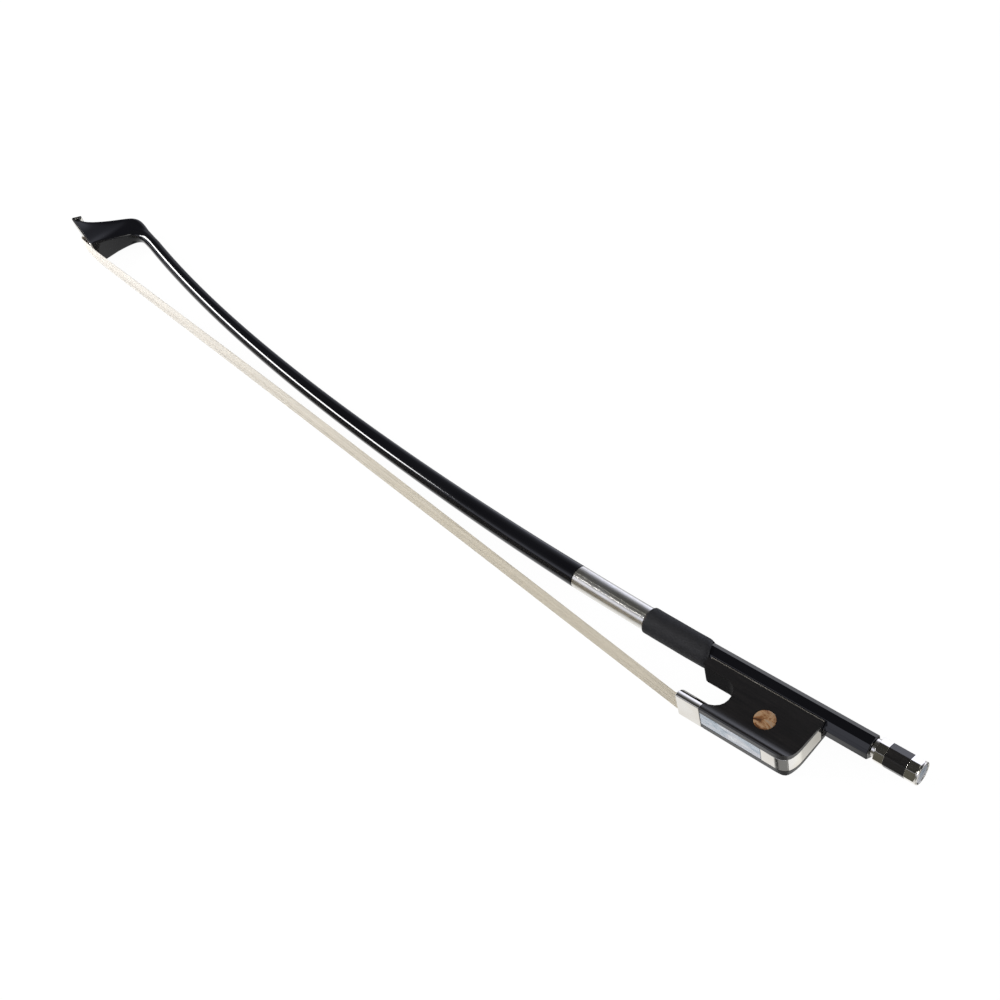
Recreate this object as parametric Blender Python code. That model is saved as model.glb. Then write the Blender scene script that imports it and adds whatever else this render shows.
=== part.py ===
"""Double bass bow with an octagonal handle, a French frog and a carbon stick.

The bow lies on its side. Its own axes are written in millimetres: X runs along the
handle from the head towards the button and is 0 at the handle's end, Y points to the
stick's back and away from the hair, and Z points up, across the bow.
"""
import math

import bmesh
import bpy
from mathutils import Vector

MM = 0.001

# The bow's axes in the ground frame: the handle's end, seen from the centre of the
# bow's outline, and the height of the handle's axis above the ground.
BOW_PLACE = (337.95, -22.8, 9.05)

# Stick
ROUND_SIDES = 32
HANDLE_FLATS = 11.6
HANDLE_END_CHAMFER = 0.4
HANDLE_FRONT = -86.5
ROUND_FROM = -104.0
UNDER_LEATHER_RADIUS = 6.22
CAMBER_START = -87.0
CAMBER_SPAN = 560.0
CAMBER_SQUARE = 86.4
CAMBER_CUBE = -58.1
CAMBER_FOURTH = 45.5
RADIUS_AT_HANDLE = 6.9
RADIUS_LINEAR = -4.16
RADIUS_SQUARE = 0.6
RADIUS_CUBE = 0.82
SHAFT_END = -618.0
SHAFT_STEPS = 20

# Head: each station is the throat or face point, the back point, the half widths at
# the two, and how far the section has turned from round (0) to hatchet-shaped (1).
HEAD_THROAT = (
    ((-624.2, 62.1), (-621.9, 70.1), 4.15, 4.15, 0.0),
    ((-630.0, 63.3), (-628.6, 71.8), 4.2, 4.1, 0.15),
    ((-634.6, 63.0), (-634.6, 73.4), 4.3, 4.0, 0.45),
    ((-638.6, 60.8), (-640.4, 75.3), 4.6, 3.8, 0.75),
    ((-642.6, 56.0), (-646.0, 76.8), 5.3, 3.6, 0.95),
    ((-646.4, 50.0), (-651.4, 77.2), 6.4, 3.4, 1.0),
    ((-649.6, 43.6), (-656.2, 75.9), 7.9, 3.2, 1.0),
    ((-652.3, 37.3), (-660.6, 73.2), 8.9, 3.0, 1.0),
)
HEAD_FACE = (
    (6.0, (-665.6, 69.4), 7.8, 2.9),
    (14.0, (-671.0, 65.4), 6.7, 2.8),
    (22.5, (-677.0, 61.4), 5.8, 2.7),
    (31.0, (-683.5, 57.8), 4.8, 2.5),
    (38.5, (-689.4, 55.6), 3.9, 2.2),
    (46.4, (-695.0, 54.7), 3.0, 1.9),
)
HEAD_SMOOTHING = 2
CHEEK_HOLLOW = 1.3
HEEL_CORNER = (-652.3, 37.3)
FACE_SLOPE = math.radians(17.4)

# Head mortise and what fills it, along the face from the heel corner
MORTISE_START = 8.0
MORTISE_END = 20.5
MORTISE_DEPTH = 8.0
MORTISE_HALF_WIDTH = 3.9
HEAD_HAIR_AT = 19.8
HEAD_PLUG_DEPTH = (-0.8, 4.8)
HEAD_KNOT_DEPTH = (5.2, 7.7)
KNOT_HALF_WIDTH = 3.5

# Head plate
PLATE_THICKNESS = 1.0
PLATE_GAP = 0.15
PLATE_NOSE = 50.2
PLATE_OVERHANG = 0.1
BEAK_TOP = 5.9

# Bores and slot in the handle
SCREW_BORE_RADIUS = 2.3
SCREW_BORE_END = -43.0
EYELET_SLOT = (-58.2, -42.0)
EYELET_SLOT_HALF_WIDTH = 3.6
EYELET_SLOT_TOP = 4.2
PILOT_BORE_RADIUS = 1.85
PILOT_BORE_END = -80.0

# Grip
LEATHER = (-127.5, -88.0)
LEATHER_SKIVE = 3.2
LEATHER_SLANT = 0.42
LEATHER_SLANT_FROM = -3.2
LEATHER_OUTER_RADIUS = 7.2
LEATHER_INNER_RADIUS = 6.58
WINDING = (-175.1, -127.9)
WINDING_SEAT = (-175.5, -127.6)
WINDING_SEAT_RADIUS = 5.55
WINDING_LOOPS = 24
WINDING_POINTS = 24
WIRE_WIDTH = 1.4
WIRE_THICKNESS = 0.45
WIRE_GAP = 0.3

# Frog
FROG_FRONT = -87.1
FROG_TOP = -4.1
FROG_BOTTOM = -31.5
CHANNEL_FLATS = 13.4
CHEEK = (
    (FROG_TOP, 6.42), (-6.0, 6.56), (-10.0, 6.82), (-14.0, 7.04), (-18.0, 7.24), (-22.0, 7.4), (-25.0, 7.5),
    (-26.0, 7.58), (-27.0, 7.74), (-28.0, 8.06), (-29.0, 8.5), (-30.0, 9.05), (-30.9, 9.05),
    (FROG_BOTTOM, 8.4),
)
THUMB_AND_THROAT = (
    (FROG_FRONT, FROG_TOP), (-87.5, -7.8), (-87.3, -8.9), (-86.5, -9.7), (-85.3, -10.05),
    (-72.4, -10.05), (-69.9, -10.6), (-67.9, -11.9), (-66.4, -14.1), (-65.7, -16.8),
    (-65.6, -19.2), (-66.1, -21.6), (-67.3, -23.6), (-69.3, -25.3), (-71.2, -26.2), (-73.0, -26.9),
)
HEEL_CURVE = ((-33.0, FROG_BOTTOM), (-26.1, FROG_BOTTOM), (-24.1, -28.4), (-23.75, -18.5))
HEEL_CURVE_STEPS = 11
FROG_REAR_TOP = (-23.0, FROG_TOP)

# Ferrule, with the frog's arch behind it and its tongue inside it
FERRULE = (-87.3, -74.0)
FERRULE_HALF_WIDTH = 8.95
FERRULE_BOTTOM = -31.6
FERRULE_TOP = -23.9
FERRULE_SHOULDER = -30.6
FERRULE_ROUNDNESS = 1.8
FERRULE_CORNER = 0.8
FERRULE_WALL = 0.9
ARCH_BACK = -64.0
ARCH_INSETS = (0.05, 0.9)
TONGUE_FRONT = -86.7
TONGUE_FLOOR = -27.4
WEDGE = (-86.5, -77.0)
WEDGE_TOP = -27.6
WEDGE_FRONT = (-28.95, 6.2, 7.2)
WEDGE_BACK = (-28.0, 6.2, 6.3)

# Slide, mortise and channel in the frog's underside
SLIDE = (-73.7, -39.9)
PEARL_HALF_WIDTH = 4.8
PEARL_TOP = -30.6
BACKING_Y = (-30.45, -29.55)
BACKING_HALF_WIDTHS = (4.95, 5.6)
GROOVE_END = -39.5
GROOVE_HALF_WIDTHS = (5.05, 6.0)
GROOVE_Y = (-30.7, -29.35)
HAIR_CHANNEL_TOP = -27.5
HAIR_CHANNEL_HALF_WIDTH = 5.15
FROG_MORTISE = (-63.6, -51.0)
FROG_MORTISE_TOP = -21.3
FROG_MORTISE_HALF_WIDTH = 5.0
FROG_KNOT_HALF_WIDTH = 4.5
FROG_PLUG_Y = (-28.5, -24.6)
FROG_KNOT_Y = (-24.3, -21.6)

# Heel plate
HEEL_PLATE_HALF_WIDTH = 5.0
HEEL_PLATE_THICKNESS = 0.9
HEEL_PLATE_RECESS = 1.1
HEEL_PLATE_START = -39.7
HEEL_PLATE_TOP = -7.0
HEEL_SEAM_STEP = 5
HEEL_SIDE_GAP = 0.2

# Underslide, its pins and the eyelet's stem
UNDERSLIDE = (-86.6, -23.6)
UNDERSLIDE_TOP = -3.3
UNDERSLIDE_INNER_FLATS = 12.0
UNDERSLIDE_OUTER_FLATS = 13.0
UNDERSLIDE_PINS = {"front": -76.0, "rear": -33.0}
PIN_RADIUS = 0.75
PIN_HOLE_RADIUS = 1.05
PIN_Y = (-8.8, -6.1)
PIN_SIDES = 12
CHANNEL_DRILLING_Y = (-8.0, -4.0)

# Eyelet
EYELET_X = -54.0
EYELET_HALF_LENGTH = 2.6
EYELET_HALF_WIDTH = 3.2
EYELET_FOOT = -5.2
EYELET_HOLE_RADIUS = 2.05
STEM_RADIUS = 2.0
STEM_HOLE_RADIUS = 2.3
STEM_END = -14.0
STEM_SIDES = 20
BORE_SIDES = 24

# Eyes
EYE_PLACE = (-45.7, -18.5)
EYE_HEIGHT = 7.34
EYE_RADIUS = 5.35
EYE_THICKNESS = 1.2
EYE_GAP = 0.25
EYE_TILT = math.radians(2.8)
EYE_SIDES = {"near": 1, "far": -1}

# Adjuster: stations along the screw's axis, which runs a little above the handle's
ADJUSTER_RISE = 0.65
BUTTON_FLATS = 11.35
BUTTON_TURN = math.radians(18.0)
SEAM = 0.15
NECK = (0.3, 2.4)
NECK_RADIUS = 4.5
FRONT_COLLAR_END = 7.4
CORE_END = 17.8
REAR_COLLAR_END = 22.9
RIM_END = 24.3
RIM_RADIUS = 5.95
SPIGOT_START = 3.6
SPIGOT_RADIUS = 4.2
SPIGOT_BORE_RADIUS = 4.5
PEARL_SEAT = 22.8
PEARL_RADIUS = 4.7
PEARL_BORE_RADIUS = 4.95
EDGE_BREAK = 0.2
SCREW_TANG = (3.6, 15.0)
TANG_RADIUS = 1.7
TANG_HOLE_RADIUS = 2.0
SHANK_END = -36.0
SHANK_RADIUS = 1.95
THREAD_END = -66.0
THREAD_RADIUS = 1.75
SCREW_END = -78.0
SCREW_NOSE_RADIUS = 1.5

# Hair ribbon: centre, half width and thickness from the head's knot to the frog's
HAIR_THICKNESS = 0.5
HAIR_STRAIGHT = ((-640.0, 34.0), (-88.6, -29.8))
HAIR_STRAIGHT_STEPS = 24
HAIR_BOW = 1.0
HAIR_HALF_WIDTH_HEAD = 7.0
HAIR_HALF_WIDTH_MIDDLE = 8.5
HAIR_HALF_WIDTH_FROG = 7.7


def remove_scene_objects():
    """Clear the scene that the file opened with."""
    for item in list(bpy.data.objects):
        bpy.data.objects.remove(item, do_unlink=True)


def material(name, colour, roughness, metallic=0.0):
    """A Principled material in one colour."""
    made = bpy.data.materials.new(name)
    made.use_nodes = True
    shader = made.node_tree.nodes["Principled BSDF"]
    shader.inputs["Base Color"].default_value = (*colour, 1.0)
    shader.inputs["Roughness"].default_value = roughness
    shader.inputs["Metallic"].default_value = metallic
    made.diffuse_color = (*colour, 1.0)
    return made


def empty(name, parent, place=(0.0, 0.0, 0.0)):
    """An empty that carries a group of pieces."""
    made = bpy.data.objects.new(name, None)
    bpy.context.collection.objects.link(made)
    made.parent = parent
    made.location = Vector(place) * MM
    return made


def piece(name, points, faces, parent, finish, place=(0.0, 0.0, 0.0), turn=(0.0, 0.0, 0.0)):
    """A mesh object from points in millimetres, with its faces turned outwards."""
    mesh = bpy.data.meshes.new(name)
    mesh.from_pydata([Vector(point) * MM for point in points], [], faces)
    shape = bmesh.new()
    shape.from_mesh(mesh)
    bmesh.ops.recalc_face_normals(shape, faces=shape.faces)
    shape.to_mesh(mesh)
    shape.free()
    mesh.materials.append(finish)
    mesh.shade_smooth()
    mesh.set_sharp_from_angle(angle=math.radians(35))
    made = bpy.data.objects.new(name, mesh)
    bpy.context.collection.objects.link(made)
    made.parent = parent
    made.location = Vector(place) * MM
    made.rotation_euler = turn
    return made


def skin(rings, closed=False):
    """Points and faces over rings of equal count, capped unless they close a loop."""
    count = len(rings[0])
    points = [point for ring in rings for point in ring]
    faces = []
    spans = len(rings) if closed else len(rings) - 1
    for span in range(spans):
        first = span * count
        second = ((span + 1) % len(rings)) * count
        for side in range(count):
            after = (side + 1) % count
            faces.append((first + side, first + after, second + after, second + side))
    if not closed:
        faces.append(tuple(range(count)))
        faces.append(tuple(range(len(points) - count, len(points))))
    return points, faces


def prism_z(outline, low, high):
    """An outline in X and Y, extruded along Z."""
    return skin([[(x, y, z) for x, y in outline] for z in (low, high)])


def prism_x(outline, low, high):
    """An outline in Y and Z, extruded along X."""
    return skin([[(x, y, z) for y, z in outline] for x in (low, high)])


def box(x_range, y_range, z_range):
    """A box between pairs of coordinates."""
    corners = [(x, y) for x, y in (
        (x_range[0], y_range[0]), (x_range[1], y_range[0]),
        (x_range[1], y_range[1]), (x_range[0], y_range[1]),
    )]
    return prism_z(corners, *z_range)


def polygon(radius_at, sides):
    """Points in Y and Z whose radius is a function of the angle from +Z."""
    angles = [2.0 * math.pi * side / sides for side in range(sides)]
    return [(radius_at(angle) * math.sin(angle), radius_at(angle) * math.cos(angle)) for angle in angles]


def circle(radius, sides=ROUND_SIDES):
    """A circle in Y and Z."""
    return polygon(lambda angle: radius, sides)


def octagon(flats, sides=ROUND_SIDES):
    """An octagon in Y and Z with flats facing the axes, given across its flats."""
    def radius_at(angle):
        return 0.5 * flats / math.cos((angle + math.pi / 8) % (math.pi / 4) - math.pi / 8)
    return polygon(radius_at, sides)


def at_x(x, outline):
    """An outline in Y and Z, placed at a station along X."""
    return [(x, y, z) for y, z in outline]


def turned(stations, closed=False, sides=ROUND_SIDES):
    """A body of circles and octagons along X, from (x, radius) or (x, outline) stations."""
    rings = []
    for x, shape in stations:
        outline = circle(shape, sides) if isinstance(shape, (int, float)) else shape
        rings.append(at_x(x, outline))
    return skin(rings, closed)


def helper(name, shape, parent, place=(0.0, 0.0, 0.0), turn=(0.0, 0.0, 0.0)):
    """A cutter or guide, which isn't part of the bow."""
    points, faces = shape
    made = piece(name, points, faces, parent, MATERIALS["guide"], place, turn)
    made.hide_render = True
    made.display_type = "WIRE"
    return made


def combine(target, operation, other):
    """Add a Boolean with another object to the target."""
    step = target.modifiers.new(other.name, "BOOLEAN")
    step.operation = operation
    step.solver = "EXACT"
    step.object = other


def face_point(along, depth):
    """A point from its place along the head's face and its depth behind that face."""
    x = HEEL_CORNER[0] - along * math.cos(FACE_SLOPE) + depth * math.sin(FACE_SLOPE)
    y = HEEL_CORNER[1] + along * math.sin(FACE_SLOPE) + depth * math.cos(FACE_SLOPE)
    return x, y


def stick_axis(x):
    """Height of the shaft's axis and its slope at a station."""
    u = (CAMBER_START - x) / CAMBER_SPAN
    height = CAMBER_SQUARE * u**2 + CAMBER_CUBE * u**3 + CAMBER_FOURTH * u**4
    slope = (2 * CAMBER_SQUARE * u + 3 * CAMBER_CUBE * u**2 + 4 * CAMBER_FOURTH * u**3) / CAMBER_SPAN
    return height, math.atan(slope)


def shaft_radius(x):
    """The shaft's radius, which tapers towards the head."""
    u = (CAMBER_START - x) / CAMBER_SPAN
    return RADIUS_AT_HANDLE + RADIUS_LINEAR * u + RADIUS_SQUARE * u**2 + RADIUS_CUBE * u**3


def shaft_ring(x, radius):
    """A round section of the shaft, square to its axis."""
    height, lean = stick_axis(x)
    return [(x + s * math.sin(lean), height + s * math.cos(lean), z) for s, z in circle(radius)]


def side_rise(side):
    """How far up a cheek a point of the section is, from the face (0) to the back (1)."""
    span = ROUND_SIDES // 4
    if span / 2 < side < 5 * span / 2:
        return (5 * span / 2 - side) / span
    return ((side - 7 * span / 2) % ROUND_SIDES) / span


def hatchet_outline(length, half_face, half_back, squareness):
    """A section of the head: a flat face, cheeks that draw in, and a round back."""
    span = ROUND_SIDES // 4
    outline = []
    for side, (round_s, round_z) in enumerate(circle(1.0)):
        if span / 2 <= side <= 3 * span / 2:
            sweep = (side - span / 2) / span * math.pi
            s = length / 2 - half_back * (1.0 - math.sin(sweep))
            z = half_back * math.cos(sweep)
        elif 5 * span / 2 <= side <= 7 * span / 2:
            s = -length / 2
            z = half_face * (side - 3 * span) / (span / 2)
        else:
            rise = side_rise(side)
            s = -length / 2 + rise * (length - half_back)
            draw_in = (1.0 - rise) ** CHEEK_HOLLOW
            z = math.copysign(half_back + (half_face - half_back) * draw_in, round_z)
        round_s *= length / 2
        round_z *= (half_face + half_back) / 2
        outline.append((round_s + squareness * (s - round_s), round_z + squareness * (z - round_z)))
    return outline


def head_ring(face, back, half_face, half_back, squareness):
    """A section of the head between its throat or face point and its back point."""
    reach = Vector(back) - Vector(face)
    middle = (Vector(back) + Vector(face)) / 2
    along = reach.normalized()
    outline = hatchet_outline(reach.length, half_face, half_back, squareness)
    return [(middle.x + s * along.x, middle.y + s * along.y, z) for s, z in outline]


def smoothed(stations, steps):
    """Stations with more between them, on a smooth curve through all of them."""
    flat = [(*face, *back, *rest) for face, back, *rest in stations]
    rows = [flat[0], *flat, flat[-1]]
    smooth = []
    for before, start, end, after in zip(rows, rows[1:], rows[2:], rows[3:]):
        for step in range(steps):
            t = step / steps
            smooth.append([
                0.5 * (2 * b + (c - a) * t + (2 * a - 5 * b + 4 * c - d) * t**2
                       + (3 * b - a - 3 * c + d) * t**3)
                for a, b, c, d in zip(before, start, end, after)
            ])
    smooth.append(list(rows[-1]))
    return [(row[0:2], row[2:4], *row[4:]) for row in smooth]


def make_stick(parent):
    """Handle, shaft and head as one moulding, with the bores and the two slots."""
    rings = [
        at_x(0.0, octagon(HANDLE_FLATS - 2 * HANDLE_END_CHAMFER)),
        at_x(-HANDLE_END_CHAMFER, octagon(HANDLE_FLATS)),
        at_x(HANDLE_FRONT, octagon(HANDLE_FLATS)),
        at_x(ROUND_FROM, circle(UNDER_LEATHER_RADIUS)),
        shaft_ring(WINDING_SEAT[1] + SEAM, UNDER_LEATHER_RADIUS),
        shaft_ring(WINDING_SEAT[1], WINDING_SEAT_RADIUS),
        shaft_ring(WINDING_SEAT[0], WINDING_SEAT_RADIUS),
    ]
    shaft_start = WINDING_SEAT[0] - SEAM
    for step in range(SHAFT_STEPS + 1):
        x = shaft_start + (SHAFT_END - shaft_start) * step / SHAFT_STEPS
        rings.append(shaft_ring(x, shaft_radius(x)))
    throat = smoothed(HEAD_THROAT, HEAD_SMOOTHING)
    nose = [(face_point(along, 0.0), back, wide, narrow, 1.0) for along, back, wide, narrow in HEAD_FACE]
    nose = smoothed([HEAD_THROAT[-1], *nose], HEAD_SMOOTHING)
    rings += [head_ring(*station) for station in throat + nose[1:]]
    stick = piece("stick", *skin(rings), parent, MATERIALS["carbon"])

    bore = turned([(1.0, SCREW_BORE_RADIUS), (SCREW_BORE_END, SCREW_BORE_RADIUS)], sides=BORE_SIDES)
    pilot = turned([(EYELET_SLOT[0] + 1.0, PILOT_BORE_RADIUS), (PILOT_BORE_END, PILOT_BORE_RADIUS)],
                   sides=BORE_SIDES)
    slot = box(
        EYELET_SLOT, (-HANDLE_FLATS, EYELET_SLOT_TOP),
        (-EYELET_SLOT_HALF_WIDTH, EYELET_SLOT_HALF_WIDTH),
    )
    screw_axis = (0.0, ADJUSTER_RISE, 0.0)
    combine(stick, "DIFFERENCE", helper("screw_bore", bore, parent, screw_axis))
    combine(stick, "DIFFERENCE", helper("pilot_bore", pilot, parent, screw_axis))
    combine(stick, "DIFFERENCE", helper("eyelet_slot", slot, parent))
    combine(stick, "DIFFERENCE", helper("head_mortise", face_box(
        (MORTISE_START, MORTISE_END), (-3.0, MORTISE_DEPTH), MORTISE_HALF_WIDTH), parent))


def face_box(along, depth, half_width):
    """A box set square to the head's face."""
    corners = [face_point(*corner) for corner in (
        (along[0], depth[0]), (along[1], depth[0]), (along[1], depth[1]), (along[0], depth[1]),
    )]
    return prism_z(corners, -half_width, half_width)


def make_head_plate(parent):
    """The face plate, whose end turns up over the nose, with the hair's window."""
    outer = -PLATE_GAP - PLATE_THICKNESS
    strip = [((-0.3, outer), (-0.3, -PLATE_GAP), HEAD_THROAT[-1][2] + PLATE_OVERHANG)]
    for along, _, half_face, _ in HEAD_FACE:
        strip.append(((along, outer), (along, -PLATE_GAP), half_face + PLATE_OVERHANG))
    inner = HEAD_FACE[-1][0] + 2 * PLATE_GAP
    nose_half = HEAD_FACE[-1][2]
    strip[-1] = ((inner, outer), (inner, -PLATE_GAP), nose_half + PLATE_OVERHANG)
    strip += [
        ((PLATE_NOSE - 0.7, outer + 0.1), (inner, 0.1), nose_half),
        ((PLATE_NOSE, 0.0), (inner, 0.6), nose_half),
        ((PLATE_NOSE - 1.2, 3.0), (inner, 3.2), nose_half - 0.2),
        ((PLATE_NOSE - 2.3, BEAK_TOP), (inner - 0.1, BEAK_TOP - 0.2), nose_half - 0.3),
    ]
    rings = []
    for low, high, half in strip:
        (low_x, low_y), (high_x, high_y) = face_point(*low), face_point(*high)
        rings.append([
            (low_x, low_y, -half), (low_x, low_y, half), (high_x, high_y, half), (high_x, high_y, -half),
        ])
    plate = piece("head_plate", *skin(rings), parent, MATERIALS["nickel"])
    window = face_box((MORTISE_START, MORTISE_END), (-4.0, 1.0), MORTISE_HALF_WIDTH)
    combine(plate, "DIFFERENCE", helper("plate_window", window, parent))


def make_head_plug(parent):
    """The wedge in the head's mortise and the bound end of the hair above it."""
    plug_end = HEAD_HAIR_AT - 0.7
    plug = face_box((MORTISE_START + 0.3, plug_end), HEAD_PLUG_DEPTH, MORTISE_HALF_WIDTH - 0.3)
    piece("head_plug", *plug, parent, MATERIALS["maple"])
    knot = face_box((MORTISE_START + 1.2, MORTISE_END - 0.4), HEAD_KNOT_DEPTH, KNOT_HALF_WIDTH)
    piece("head_hair_knot", *knot, parent, MATERIALS["thread"])


def hair_stations():
    """Centre, half width and half thickness of the ribbon along its way."""
    head = [
        (face_point(HEAD_HAIR_AT, 4.9), 3.4),
        (face_point(HEAD_HAIR_AT, -0.6), 3.5),
        (face_point(HEAD_HAIR_AT - 0.2, -1.6), 4.2),
        (face_point(HEAD_HAIR_AT - 1.2, -2.5), 5.0),
        (face_point(HEAD_HAIR_AT - 3.4, -3.1), 5.8),
        (face_point(HEAD_HAIR_AT - 7.5, -3.1), 6.4),
        (face_point(HEAD_HAIR_AT - 13.5, -2.3), 6.7),
        (face_point(HEAD_HAIR_AT - 19.8, -1.7), HAIR_HALF_WIDTH_HEAD),
    ]
    (start_x, start_y), (end_x, end_y) = HAIR_STRAIGHT
    free = []
    for step in range(HAIR_STRAIGHT_STEPS + 1):
        t = step / HAIR_STRAIGHT_STEPS
        swell = math.sin(math.pi * t)
        ends = HAIR_HALF_WIDTH_HEAD + (HAIR_HALF_WIDTH_FROG - HAIR_HALF_WIDTH_HEAD) * t
        free.append((
            (start_x + (end_x - start_x) * t, start_y + (end_y - start_y) * t + HAIR_BOW * swell),
            ends + (HAIR_HALF_WIDTH_MIDDLE - ends) * swell,
        ))
    frog = [
        ((-86.0, -29.4), 7.4),
        ((-78.0, -28.5), 5.4),
        ((-74.0, -28.2), 4.7),
        ((-64.8, -28.25), 4.7),
        ((-63.5, -28.1), 4.6),
        ((-62.95, -27.3), 4.5),
        ((-62.95, -24.9), 4.5),
    ]
    return head + free + frog


def make_hair(parent):
    """The ribbon of horsehair as one flat band."""
    stations = hair_stations()
    rings = []
    for index, ((x, y), half) in enumerate(stations):
        before = Vector(stations[max(index - 1, 0)][0])
        after = Vector(stations[min(index + 1, len(stations) - 1)][0])
        run = (after - before).normalized()
        across = Vector((-run.y, run.x)) * HAIR_THICKNESS / 2
        rings.append([
            (x - across.x, y - across.y, -half), (x - across.x, y - across.y, half),
            (x + across.x, y + across.y, half), (x + across.x, y + across.y, -half),
        ])
    piece("hair_ribbon", *skin(rings), parent, MATERIALS["hair"])


def make_leather(parent):
    """The thumb leather, with its ends drawn down and the end at the frog cut on a slant."""
    low, high = LEATHER
    inner, outer = LEATHER_INNER_RADIUS, LEATHER_OUTER_RADIUS
    wall = outer - inner
    front = [
        (low, inner), (low, inner + 0.15 * wall), (low + 0.3 * wall, outer - 0.3 * wall),
        (low + wall, outer),
    ]
    rings = [shaft_ring(x, radius) for x, radius in front]
    rear = [
        (high - LEATHER_SKIVE, outer), (high - 0.3 * LEATHER_SKIVE, outer - 0.25 * wall),
        (high, inner + 0.3 * wall), (high, inner),
    ]
    for x, radius in rear:
        rings.append([(at - LEATHER_SLANT * max(y - LEATHER_SLANT_FROM, 0.0), y, z)
                      for at, y, z in shaft_ring(x, radius)])
    piece("leather_grip", *skin(rings, closed=True), parent, MATERIALS["leather"])


def winding_path():
    """The flat wire's middle, with its directions along the stick and away from it."""
    radius = WINDING_SEAT_RADIUS + WIRE_GAP + WIRE_THICKNESS / 2
    low, high = WINDING[0] + WIRE_WIDTH / 2, WINDING[1] - WIRE_WIDTH / 2
    steps = WINDING_LOOPS * WINDING_POINTS
    path = []
    for step in range(steps + 1):
        x = low + (high - low) * step / steps
        height, lean = stick_axis(x)
        angle = 2.0 * math.pi * step / WINDING_POINTS
        along = Vector((math.cos(lean), -math.sin(lean), 0.0))
        back = Vector((math.sin(lean), math.cos(lean), 0.0))
        outward = back * math.sin(angle) + Vector((0.0, 0.0, math.cos(angle)))
        path.append((Vector((x, height, 0.0)) + outward * radius, along, outward))
    for start, run in ((path[0], path[0][1].cross(path[0][2])), (path[-1], path[-1][2].cross(path[-1][1]))):
        straight = (start[0] + run * WIRE_WIDTH, start[1], start[2])
        path.insert(0 if start is path[0] else len(path), straight)
    return path


def make_winding(parent):
    """The silver winding: flat wire in one unbroken run of loops round the stick."""
    path = winding_path()
    rings = []
    for middle, along, outward in path:
        across, depth = along * WIRE_WIDTH / 2, outward * WIRE_THICKNESS / 2
        rings.append([
            tuple(middle - across - depth), tuple(middle + across - depth),
            tuple(middle + across + depth), tuple(middle - across + depth),
        ])
    piece("silver_winding", *skin(rings), parent, MATERIALS["silver"])
    least = min(
        (later[0] - earlier[0]).length - WIRE_WIDTH
        for earlier, later in zip(path, path[WINDING_POINTS:])
    )
    print(f"silver_winding: least gap between loops {least:.2f} mm")


def heel_curve():
    """The heel's outline from the flat bottom round the bend to the rear's top."""
    p, q, r, s = HEEL_CURVE
    points = []
    for step in range(HEEL_CURVE_STEPS + 1):
        t = step / HEEL_CURVE_STEPS
        points.append(tuple(
            (1 - t)**3 * p[k] + 3 * (1 - t)**2 * t * q[k] + 3 * (1 - t) * t**2 * r[k] + t**3 * s[k]
            for k in (0, 1)
        ))
    return points


def heel_point_at(y):
    """The point of the frog's straight rear at a height."""
    (x_low, y_low), (x_high, y_high) = HEEL_CURVE[-1], FROG_REAR_TOP
    return x_low + (x_high - x_low) * (y - y_low) / (y_high - y_low), y


def inset(points, depth):
    """A run of outline points moved square to itself, to the left of its direction."""
    moved = []
    for index, point in enumerate(points):
        before = Vector(points[max(index - 1, 0)])
        after = Vector(points[min(index + 1, len(points) - 1)])
        run = (after - before).normalized()
        moved.append((point[0] - run.y * depth, point[1] + run.x * depth))
    return moved


def ferrule_outline(inset_by, floor=None):
    """The D section in Y and Z, drawn in by a distance, and cut off at a floor if given."""
    half = FERRULE_HALF_WIDTH - inset_by
    bottom = FERRULE_BOTTOM + inset_by if floor is None else floor
    height = FERRULE_TOP - FERRULE_SHOULDER - inset_by
    steps = 16
    outline = []
    for step in range(steps + 1):
        angle = math.pi * step / steps
        power = 2.0 / FERRULE_ROUNDNESS
        z = math.copysign(abs(math.cos(angle)) ** power, math.cos(angle)) * half
        y = FERRULE_SHOULDER + abs(math.sin(angle)) ** power * height
        outline.append((y, z))
    corner = min(FERRULE_CORNER, 0.9 * (FERRULE_SHOULDER - bottom))
    if floor is None:
        outline += [
            (bottom + corner, -half), (bottom, -half + corner),
            (bottom, half - corner), (bottom + corner, half),
        ]
        return outline
    above = [point for point in outline if point[0] > floor + 0.05]
    rise = (floor - FERRULE_SHOULDER) / height
    reach = half * (1.0 - rise**FERRULE_ROUNDNESS) ** (1.0 / FERRULE_ROUNDNESS)
    return [(floor, reach), *above, (floor, -reach)]


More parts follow.
